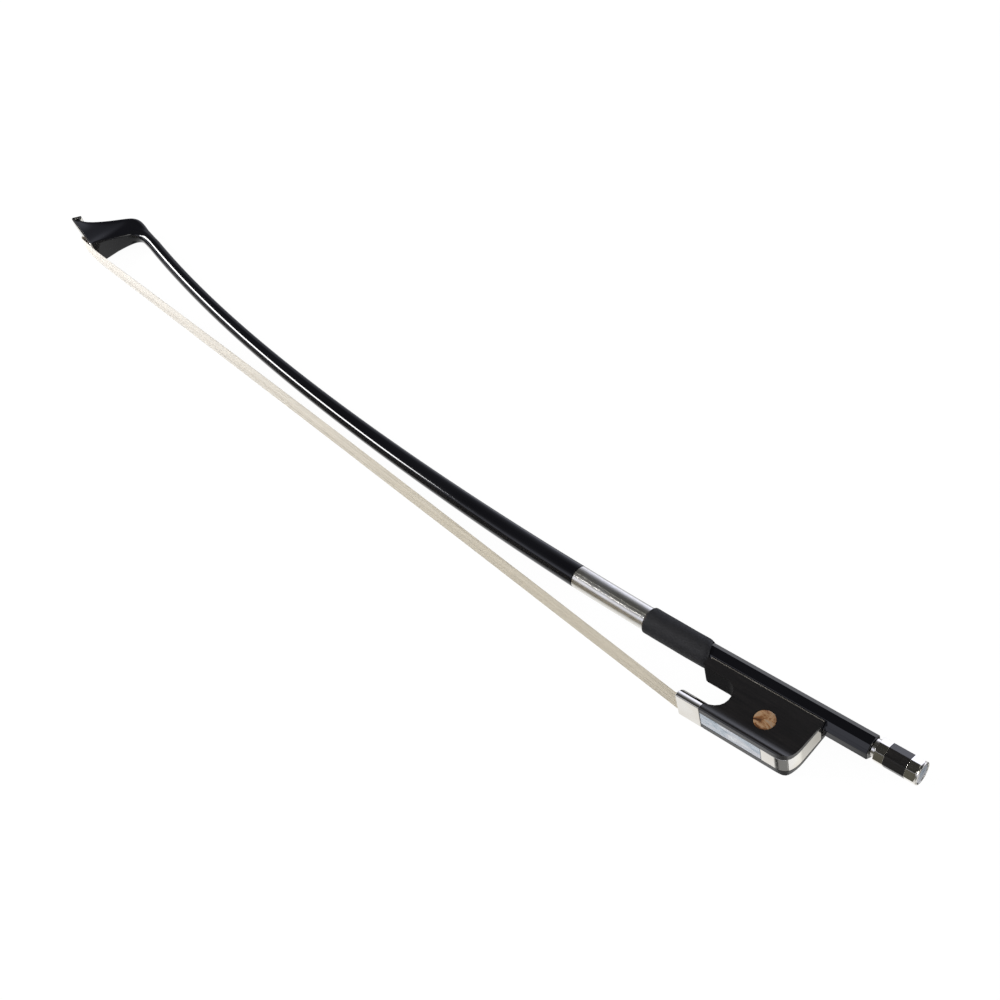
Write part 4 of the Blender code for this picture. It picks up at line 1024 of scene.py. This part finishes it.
def hair_stations():
    """Centre and half width of the ribbon along its way."""
    head = [
        (face_point(HAIR_EXIT, 4.9), 3.4), (face_point(HAIR_EXIT, 0.2), 3.5),
        (face_point(HAIR_EXIT + 0.7, -1.3), 3.9), (face_point(HAIR_EXIT + 0.9, -2.2), 4.4),
        (face_point(HAIR_EXIT, -3.0), 5.0),
        (face_point(HAIR_EXIT - 2.6, -3.4), 5.7), (face_point(HAIR_EXIT - 7.5, -3.2), 6.4),
        (face_point(HAIR_EXIT - 13.5, -2.3), 6.7), (face_point(HAIR_EXIT - 19.8, -1.7), HAIR_HALF_WIDTHS[0]),
    ]
    (start_x, start_y), (end_x, end_y) = HAIR_STRAIGHT
    narrow, wide, at_frog = HAIR_HALF_WIDTHS
    free = []
    for step in range(25):
        t = step / 24
        swell = math.sin(math.pi * t)
        ends = narrow + (at_frog - narrow) * t
        free.append((
            (start_x + (end_x - start_x) * t, start_y + (end_y - start_y) * t + HAIR_BOW * swell),
            ends + (wide - ends) * swell,
        ))
    frog = [
        ((-86.0, -29.4), 7.4), ((-78.0, -28.5), 5.4), ((-74.0, -28.2), 4.7), ((-64.8, -28.25), 4.7),
        ((-63.5, -28.1), 4.6), ((-62.95, -27.3), 4.5), ((-62.95, -24.9), 4.5),
    ]
    return head + free + frog


def hair_tree():
    """Geometry nodes that spread hairs across a line with a half width at each point."""
    tree = bpy.data.node_groups.new("Hair ribbon", "GeometryNodeTree")
    tree.interface.new_socket("Geometry", in_out="INPUT", socket_type="NodeSocketGeometry")
    for label, kind, default in (
        ("Hairs", "NodeSocketInt", 200), ("Hair", "NodeSocketFloat", 0.0002),
        ("Depth", "NodeSocketFloat", 0.0004), ("Seed", "NodeSocketInt", 0),
        ("Finish", "NodeSocketMaterial", None),
    ):
        socket = tree.interface.new_socket(label, in_out="INPUT", socket_type=kind)
        if default is not None:
            socket.default_value = default
    tree.interface.new_socket("Geometry", in_out="OUTPUT", socket_type="NodeSocketGeometry")
    start, end = place(tree, "NodeGroupInput"), place(tree, "NodeGroupOutput")
    line = place(tree, "GeometryNodeMeshToCurve", {"Mesh": start.outputs["Geometry"]})
    many = place(tree, "GeometryNodeDuplicateElements", {
        "Geometry": line.outputs["Curve"], "Amount": start.outputs["Hairs"]}, domain="SPLINE")
    number = many.outputs["Duplicate Index"]
    last = calc(tree, "SUBTRACT", start.outputs["Hairs"], 1.0)
    share = calc(tree, "DIVIDE", number, last.outputs[0])

    def chance(low, high, step):
        seed = place(tree, "FunctionNodeRandomValue", {
            "ID": number, "Seed": start.outputs["Seed"]}, data_type="FLOAT")
        shifted = calc(tree, "ADD", start.outputs["Seed"], float(step))
        tree.links.new(shifted.outputs[0], seed.inputs["Seed"])
        seed.inputs[2].default_value, seed.inputs[3].default_value = low, high
        return seed.outputs[1]

    lock = calc(tree, "MULTIPLY", number, 0.37)
    locks = place(tree, "ShaderNodeTexNoise", {"W": lock.outputs[0], "Scale": 1.0, "Detail": 2.0},
                  noise_dimensions="1D")
    shade = calc(tree, "ADD", locks.outputs["Fac"], chance(-0.28, 0.28, 0))
    kept = place(tree, "GeometryNodeStoreNamedAttribute", {
        "Geometry": many.outputs["Geometry"], "Name": "hair_shade", "Value": shade.outputs[0]},
        data_type="FLOAT", domain="CURVE")
    half = place(tree, "GeometryNodeInputNamedAttribute", {"Name": "half_width"}, data_type="FLOAT")
    outward = place(tree, "GeometryNodeInputNamedAttribute", {"Name": "outward"}, data_type="FLOAT_VECTOR")
    centred = calc(tree, "MULTIPLY_ADD", share.outputs[0], 2.0, -1.0)
    stray = calc(tree, "ADD", centred.outputs[0], chance(-0.012, 0.012, 1))
    spot = place(tree, "GeometryNodeInputPosition")
    here = place(tree, "ShaderNodeSeparateXYZ", {"Vector": spot.outputs[0]})
    strand = calc(tree, "MULTIPLY", number, 0.9)
    along = calc(tree, "MULTIPLY", here.outputs["X"], 14.0)
    way = place(tree, "ShaderNodeCombineXYZ", {"X": along.outputs[0], "Y": strand.outputs[0]})
    drift = place(tree, "ShaderNodeTexNoise", {"Vector": way.outputs[0], "Scale": 1.0, "Detail": 1.0},
                  noise_dimensions="2D")
    sway = calc(tree, "SUBTRACT", drift.outputs["Fac"], 0.5)
    strayed = calc(tree, "MULTIPLY_ADD", sway.outputs[0], 0.09, stray.outputs[0])
    bound = place(tree, "ShaderNodeClamp", {"Value": strayed.outputs[0], "Min": -1.0, "Max": 1.0})
    across = calc(tree, "MULTIPLY", bound.outputs[0], half.outputs["Attribute"])
    layer = calc(tree, "MULTIPLY", chance(-0.5, 0.5, 2), start.outputs["Depth"])
    lift = place(tree, "ShaderNodeVectorMath", {
        0: outward.outputs["Attribute"], "Scale": layer.outputs[0]}, operation="SCALE")
    side = place(tree, "ShaderNodeCombineXYZ", {"Z": across.outputs[0]})
    shift = calc_vector(tree, "ADD", lift.outputs[0], side.outputs[0])
    moved = place(tree, "GeometryNodeSetPosition", {
        "Geometry": kept.outputs["Geometry"], "Offset": shift.outputs[0]})
    radius = calc(tree, "MULTIPLY", start.outputs["Hair"], 0.5)
    section = place(tree, "GeometryNodeCurvePrimitiveCircle", {"Resolution": 4, "Radius": radius.outputs[0]})
    hairs = place(tree, "GeometryNodeCurveToMesh", {
        "Curve": moved.outputs["Geometry"], "Profile Curve": section.outputs["Curve"], "Fill Caps": True})
    real = place(tree, "GeometryNodeRealizeInstances", {"Geometry": hairs.outputs["Mesh"]})
    smooth = place(tree, "GeometryNodeSetShadeSmooth", {"Geometry": real.outputs["Geometry"]})
    painted = place(tree, "GeometryNodeSetMaterial", {
        "Geometry": smooth.outputs["Geometry"], "Material": start.outputs["Finish"]})
    tree.links.new(painted.outputs["Geometry"], end.inputs["Geometry"])
    return tree


class BOW_OT_hair(bpy.types.Operator):
    """Lay the horsehair from the head to the frog"""
    bl_idname = "bow.hair"
    bl_label = "Hair"

    def execute(self, context):
        use = context.scene.bow_hair
        stations = hair_stations()
        mesh = bpy.data.meshes.new("bow_hair")
        mesh.from_pydata(
            [bow(x, y, 0.0) for (x, y), _ in stations],
            [(index, index + 1) for index in range(len(stations) - 1)], [])
        widths = mesh.attributes.new("half_width", "FLOAT", "POINT")
        widths.data.foreach_set("value", [half * MM - use.hair for _, half in stations])
        outward = mesh.attributes.new("outward", "FLOAT_VECTOR", "POINT")
        for index in range(len(stations)):
            before = Vector(stations[max(index - 1, 0)][0])
            after = Vector(stations[min(index + 1, len(stations) - 1)][0])
            run = (after - before).normalized()
            outward.data[index].vector = (-run.y, run.x, 0.0)
        hair = bpy.data.objects.new("bow_hair", mesh)
        bpy.context.collection.objects.link(hair)
        spread = hair.modifiers.new("hairs", "NODES")
        spread.node_group = hair_tree()
        set_inputs(spread, {
            "Hairs": use.hairs, "Hair": use.hair, "Depth": use.depth, "Seed": use.seed,
            "Finish": finished("hair"),
        })
        baked(hair)
        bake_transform(hair)
        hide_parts("hair_ribbon")
        return {"FINISHED"}


class BOW_OT_frog(bpy.types.Operator):
    """Make the ebony frog and dress the pieces inside it"""
    bl_idname = "bow.frog"
    bl_label = "Frog"

    def execute(self, context):
        use = context.scene.bow_frog
        frog = rounded_copy("frog_body", "bow_frog", use.ebony_edge / MM, 3, 38.0)
        settle(frog, "frog", "ebony", "frog_body")
        frog.data.materials.append(finished("throat_shade_ebony"))
        # Painted shade: the faces inside the thumb's cut get the throat ebony, which barely reflects, so that
        # they stay dark.
        front, back = (bow(x, y, 0.0) for x, y in THROAT)
        for face in frog.data.polygons:
            if (abs(face.normal.z) < 0.35 and front.x < face.center.x < back.x
                    and back.y < face.center.y < front.y):
                face.material_index = 1
        settle(rounded_copy("underslide", "bow_underslide", 0.06), "frog", "dull_nickel", "underslide",
               slot="nickel")
        for node, name in (
            ("slide_backing", "ebony"), ("frog_plug", "maple"), ("frog_hair_knot", "thread"),
            ("hair_wedge", "maple"), ("underslide_pin_front", "brass"), ("underslide_pin_rear", "brass"),
            ("eyelet", "brass"),
        ):
            dress(node, name)
        return {"FINISHED"}


def ferrule_outline(inset_by, steps):
    """The ferrule's D section in Y and Z, drawn in by a distance."""
    half = FERRULE_HALF_WIDTH - inset_by
    bottom = FERRULE_BOTTOM + inset_by
    height = FERRULE_TOP - FERRULE_SHOULDER - inset_by
    outline = []
    for step in range(steps + 1):
        angle = math.pi * step / steps
        power = 2.0 / FERRULE_ROUNDNESS
        z = math.copysign(abs(math.cos(angle)) ** power, math.cos(angle)) * half
        outline.append((FERRULE_SHOULDER + abs(math.sin(angle)) ** power * height, z))
    corner = min(FERRULE_CORNER, 0.9 * (FERRULE_SHOULDER - bottom))
    for step in range(7):
        angle = math.pi / 2 * step / 6
        outline.append((bottom + corner * (1 - math.sin(angle)), -half + corner * (1 - math.cos(angle))))
    for step in range(7):
        angle = math.pi / 2 * step / 6
        outline.append((bottom + corner * (1 - math.cos(angle)), half - corner * (1 - math.sin(angle))))
    return outline


class BOW_OT_ferrule(bpy.types.Operator):
    """Make the D-shaped ferrule"""
    bl_idname = "bow.ferrule"
    bl_label = "Ferrule"

    def execute(self, context):
        outer, inner = ferrule_outline(0.0, 48), ferrule_outline(FERRULE_WALL, 48)
        low, high = FERRULE
        rings = [[(x, y, z) for y, z in outline]
                 for x, outline in ((low, inner), (low, outer), (high, outer), (high, inner))]
        ferrule = mesh_object("bow_ferrule", *skin(rings, closed=True))
        soften(ferrule, context.scene.bow_frog.metal_edge / MM)
        settle(ferrule, "frog", "nickel", "ferrule")
        return {"FINISHED"}


class BOW_OT_eyes(bpy.types.Operator):
    """Make the two shell eyes"""
    bl_idname = "bow.eyes"
    bl_label = "Eyes"

    def execute(self, context):
        for name, way in (("near", 1), ("far", -1)):
            stations = (
                (0.0, EYE_RADIUS), (EYE_THICKNESS - 0.22, EYE_RADIUS),
                (EYE_THICKNESS - 0.08, EYE_RADIUS - 0.06),
                (EYE_THICKNESS, EYE_RADIUS - 0.22), (EYE_THICKNESS + 0.03, EYE_RADIUS * 0.6),
                (EYE_THICKNESS + 0.05, EYE_RADIUS * 0.2),
            )
            rings = []
            for height, radius in stations:
                ring = []
                for side in range(96):
                    angle = 2.0 * math.pi * side / 96
                    x, y, z = radius * math.cos(angle), radius * math.sin(angle), height - EYE_THICKNESS
                    turned_y = y * math.cos(EYE_TILT) + z * math.sin(EYE_TILT)
                    turned_z = z * math.cos(EYE_TILT) - y * math.sin(EYE_TILT)
                    ring.append((EYE_PLACE[0] + x, EYE_PLACE[1] + turned_y, way * (EYE_PLACE[2] + turned_z)))
                rings.append(ring)
            eye = mesh_object(f"bow_eye_{name}", *skin(rings))
            eye.data.shade_smooth()
            eye.data.set_sharp_from_angle(angle=math.radians(40))
            settle(eye, "frog", "gold_pearl", f"frog_eye_{name}")
        return {"FINISHED"}


class BOW_OT_slide(bpy.types.Operator):
    """Make the pearl slide and the two heel plates"""
    bl_idname = "bow.slide"
    bl_label = "Slide and heel plates"

    def execute(self, context):
        edge = context.scene.bow_frog.metal_edge / MM
        settle(rounded_copy("pearl_slide", "bow_pearl_slide", 0.12), "frog", "pearl", "pearl_slide")
        for node in ("heel_plate_lower", "heel_plate_rear"):
            settle(rounded_copy(node, f"bow_{node}", edge), "frog", "nickel", node)
        return {"FINISHED"}


class BOW_OT_button(bpy.types.Operator):
    """Make the screw's button: two nickel silver collars, the ebony middle and the pearl"""
    bl_idname = "bow.button"
    bl_label = "Button"

    def execute(self, context):
        use = context.scene.bow_button
        sides = use.sides
        eight = octagon(BUTTON_FLATS, sides)
        rise = (0.0, ADJUSTER_RISE, 0.0)

        def build(name, node, stations, finish_name, closed):
            rings = []
            for x, shape in stations:
                outline = circle(shape, sides) if isinstance(shape, float) else shape
                rings.append([(x, y, z) for y, z in outline])
            made = mesh_object(name, *skin(rings, closed), rise, BUTTON_TURN)
            soften(made, use.edge / MM)
            settle(made, "adjuster", finish_name, node)

        build("bow_front_collar", "button_front_collar", [
            (NECK[0], SCREW_HOLE_RADIUS), (NECK[0], NECK[2]), (NECK[1], NECK[2]), (NECK[1], eight),
            (FRONT_COLLAR_END - SEAM, eight), (FRONT_COLLAR_END - SEAM, SPIGOT[2]),
            (SPIGOT[0] - 0.3, SPIGOT[2]), (SPIGOT[0] - 0.3, SCREW_HOLE_RADIUS),
        ], "nickel", True)
        build("bow_button_core", "button_core", [
            (TANG[0], TANG[1]), (SPIGOT[0], TANG[1]), (SPIGOT[0], SPIGOT[1]), (FRONT_COLLAR_END, SPIGOT[1]),
            (FRONT_COLLAR_END, eight), (CORE_END, eight), (CORE_END, SPIGOT[1]),
            (PEARL_SEAT - 0.3, SPIGOT[1]),
        ], "ebony", False)
        build("bow_rear_collar", "button_rear_collar", [
            (CORE_END + SEAM, SPIGOT[2]), (CORE_END + SEAM, eight), (REAR_COLLAR_END, eight),
            (REAR_COLLAR_END + 0.3, circle(RIM_RADIUS - 0.3, sides)),
            (REAR_COLLAR_END + 0.7, RIM_RADIUS - 0.08),
            (RIM_END - 0.4, RIM_RADIUS), (RIM_END - 0.15, RIM_RADIUS - 0.12), (RIM_END, RIM_RADIUS - 0.4),
            (RIM_END, PEARL_RADII[1] + 0.2), (RIM_END - 0.12, PEARL_RADII[1]), (PEARL_SEAT, PEARL_RADII[1]),
            (PEARL_SEAT, SPIGOT[2]),
        ], "nickel", True)
        build("bow_button_pearl", "button_pearl", [
            (PEARL_SEAT + 0.25, PEARL_RADII[0]), (RIM_END - 0.36, PEARL_RADII[0]),
            (RIM_END - 0.2, PEARL_RADII[0] - 0.2), (RIM_END - 0.1, PEARL_RADII[0] * 0.6),
            (RIM_END - 0.06, PEARL_RADII[0] * 0.15),
        ], "pearl", False)
        dress("adjuster_screw", "steel")
        return {"FINISHED"}


def lamp(name, energy, size, place_at, aim):
    """A rectangular lamp that points at a spot."""
    light = bpy.data.lights.new(name, "AREA")
    light.shape = "RECTANGLE"
    light.energy = energy
    light.size, light.size_y = size
    made = bpy.data.objects.new(name, light)
    made.location = place_at
    made.rotation_euler = (Vector(aim) - Vector(place_at)).to_track_quat("-Z", "Y").to_euler()
    bpy.context.collection.objects.link(made)
    return made


def studio_cards(tree):
    """What polished surfaces reflect: pale cards on both sides and a dark ceiling between them."""
    way = place(tree, "ShaderNodeTexCoord")
    split = place(tree, "ShaderNodeSeparateXYZ", {"Vector": way.outputs["Generated"]})
    tilt = calc(tree, "ARCTAN2", split.outputs["Y"], split.outputs["Z"])
    turn = place(tree, "ShaderNodeMapRange", {
        "Value": tilt.outputs[0], "From Min": -math.pi, "From Max": math.pi})
    cards = place(tree, "ShaderNodeValToRGB", {"Fac": turn.outputs["Result"]})
    ramp = cards.color_ramp
    ramp.interpolation = "EASE"
    ramp.elements[0].position, ramp.elements[0].color = 0.0, (0.95, 0.95, 0.96, 1.0)
    ramp.elements[1].position, ramp.elements[1].color = 1.0, (0.95, 0.95, 0.96, 1.0)
    for degrees, grey, cool in CARDS:
        stop = ramp.elements.new((degrees + 180.0) / 360.0)
        stop.color = (grey * (1.0 - 0.07 * cool), grey * (1.0 - 0.04 * cool), grey * (1.0 + 0.12 * cool), 1.0)
    light = cards.outputs["Color"]
    for aim, full, gone, left in FLAGS:
        away = calc_vector(tree, "DOT_PRODUCT", way.outputs["Generated"], Vector(aim).normalized())
        flag = place(tree, "ShaderNodeMapRange", {
            "Value": away.outputs["Value"], "From Min": math.cos(math.radians(gone)),
            "From Max": math.cos(math.radians(full)), "To Min": 1.0, "To Max": left},
            interpolation_type="SMOOTHSTEP")
        light = place(tree, "ShaderNodeVectorMath", {0: light, "Scale": flag.outputs["Result"]},
                      operation="SCALE").outputs[0]
    return light


def surroundings():
    """A studio that is white behind the bow, evenly lit, and has cards for its reflections."""
    world = bpy.data.worlds.new("Studio")
    world.use_nodes = True
    tree = world.node_tree
    tree.nodes.clear()
    path = place(tree, "ShaderNodeLightPath")
    soft = place(tree, "ShaderNodeBackground", {"Color": (0.98, 0.98, 1.0, 1.0), "Strength": 0.66})
    cards = place(tree, "ShaderNodeBackground", {"Color": studio_cards(tree), "Strength": 1.0})
    white = place(tree, "ShaderNodeBackground", {"Color": (1.0, 1.0, 1.0, 1.0), "Strength": 1.0})
    gloss = place(tree, "ShaderNodeMixShader", {
        "Fac": path.outputs["Is Glossy Ray"], 1: soft.outputs[0], 2: cards.outputs[0]})
    behind = place(tree, "ShaderNodeMixShader", {
        "Fac": path.outputs["Is Camera Ray"], 1: gloss.outputs[0], 2: white.outputs[0]})
    end = place(tree, "ShaderNodeOutputWorld")
    tree.links.new(behind.outputs[0], end.inputs["Surface"])
    bpy.context.scene.world = world


def floor_finish(colour):
    """A pale floor, white to the camera with a faint shadow, and out of the cards' way."""
    made, tree, surface = finish("Pale floor", (*colour, 1.0), 0.8)
    dust = grouped(tree, "Handling", {"Mark Size": 120.0, "Uneven Size": 6.0})
    roughen(tree, surface, dust.outputs["Marks"], 0.75, 0.9)
    path = place(tree, "ShaderNodeLightPath")
    share = calc(tree, "MULTIPLY", path.outputs["Is Camera Ray"], 0.94)
    glow = place(tree, "ShaderNodeEmission", {"Color": (1.0, 1.0, 1.0, 1.0), "Strength": 1.03})
    seen = place(tree, "ShaderNodeMixShader", {
        "Fac": share.outputs[0], 1: surface.outputs[0], 2: glow.outputs[0]})
    clear = place(tree, "ShaderNodeBsdfTransparent")
    both = place(tree, "ShaderNodeMixShader", {
        "Fac": path.outputs["Is Glossy Ray"], 1: seen.outputs[0], 2: clear.outputs[0]})
    tree.links.new(both.outputs[0], tree.nodes["Material Output"].inputs["Surface"])
    return made


class BOW_OT_stage(bpy.types.Operator):
    """Set the floor, the lamps, the surroundings and the camera"""
    bl_idname = "bow.stage"
    bl_label = "Stage"

    def execute(self, context):
        use = context.scene.bow_stage
        mesh = bpy.data.meshes.new("floor")
        reach = 6.0
        corners = [(-reach, -reach, 0.0), (reach, -reach, 0.0), (reach, reach, 0.0), (-reach, reach, 0.0)]
        mesh.from_pydata(corners, [], [(0, 1, 2, 3)])
        mesh.materials.append(floor_finish(use.floor))
        floor = bpy.data.objects.new("floor", mesh)
        context.collection.objects.link(floor)
        lamp("strip_light", use.strip_light, (1.5, 0.36), (-1.85, -0.72, 1.0), (-0.1, 0.0, 0.0))
        surroundings()
        camera = bpy.data.objects.new("camera", bpy.data.cameras.new("camera"))
        camera.data.lens = use.lens
        camera.data.sensor_width = 36.0
        camera.location = (0.5053694, -0.3010473, 0.5862414)
        camera.rotation_euler = [math.radians(angle) for angle in (40.08783, 11.43266, 41.01498)]
        context.collection.objects.link(camera)
        context.scene.camera = camera
        context.scene.view_settings.view_transform = "Standard"
        return {"FINISHED"}


SETTINGS = {
    "bow_stick": StickSettings, "bow_grip": GripSettings, "bow_hair": HairSettings, "bow_frog": FrogSettings,
    "bow_button": ButtonSettings, "bow_stage": StageSettings,
}
PIECES = (
    BOW_OT_stick, BOW_OT_head_plate, BOW_OT_winding, BOW_OT_leather, BOW_OT_hair, BOW_OT_frog,
    BOW_OT_ferrule, BOW_OT_eyes, BOW_OT_slide, BOW_OT_button, BOW_OT_stage,
)


class BOW_PT_panel(bpy.types.Panel):
    """The bow's settings and the buttons that make its pieces"""
    bl_idname = "BOW_PT_panel"
    bl_label = "Double bass bow"
    bl_space_type = "VIEW_3D"
    bl_region_type = "UI"
    bl_category = "Bow"

    def draw(self, context):
        for name, group in SETTINGS.items():
            box = self.layout.box()
            for key in group.__annotations__:
                box.prop(getattr(context.scene, name), key)
        for piece in PIECES:
            self.layout.operator(piece.bl_idname)


def register():
    """Make the settings, the operators and the panel known to Blender."""
    for group in (*SETTINGS.values(), *PIECES, BOW_PT_panel):
        bpy.utils.register_class(group)
    for name, group in SETTINGS.items():
        setattr(bpy.types.Scene, name, bpy.props.PointerProperty(type=group))


def unregister():
    """Take back what register made known."""
    for name in SETTINGS:
        delattr(bpy.types.Scene, name)
    for group in reversed((*SETTINGS.values(), *PIECES, BOW_PT_panel)):
        bpy.utils.unregister_class(group)


def main():
    """Build every piece in order."""
    register()
    for piece in PIECES:
        family, action = piece.bl_idname.split(".")
        getattr(getattr(bpy.ops, family), action)()


if __name__ == "__main__":
    main()
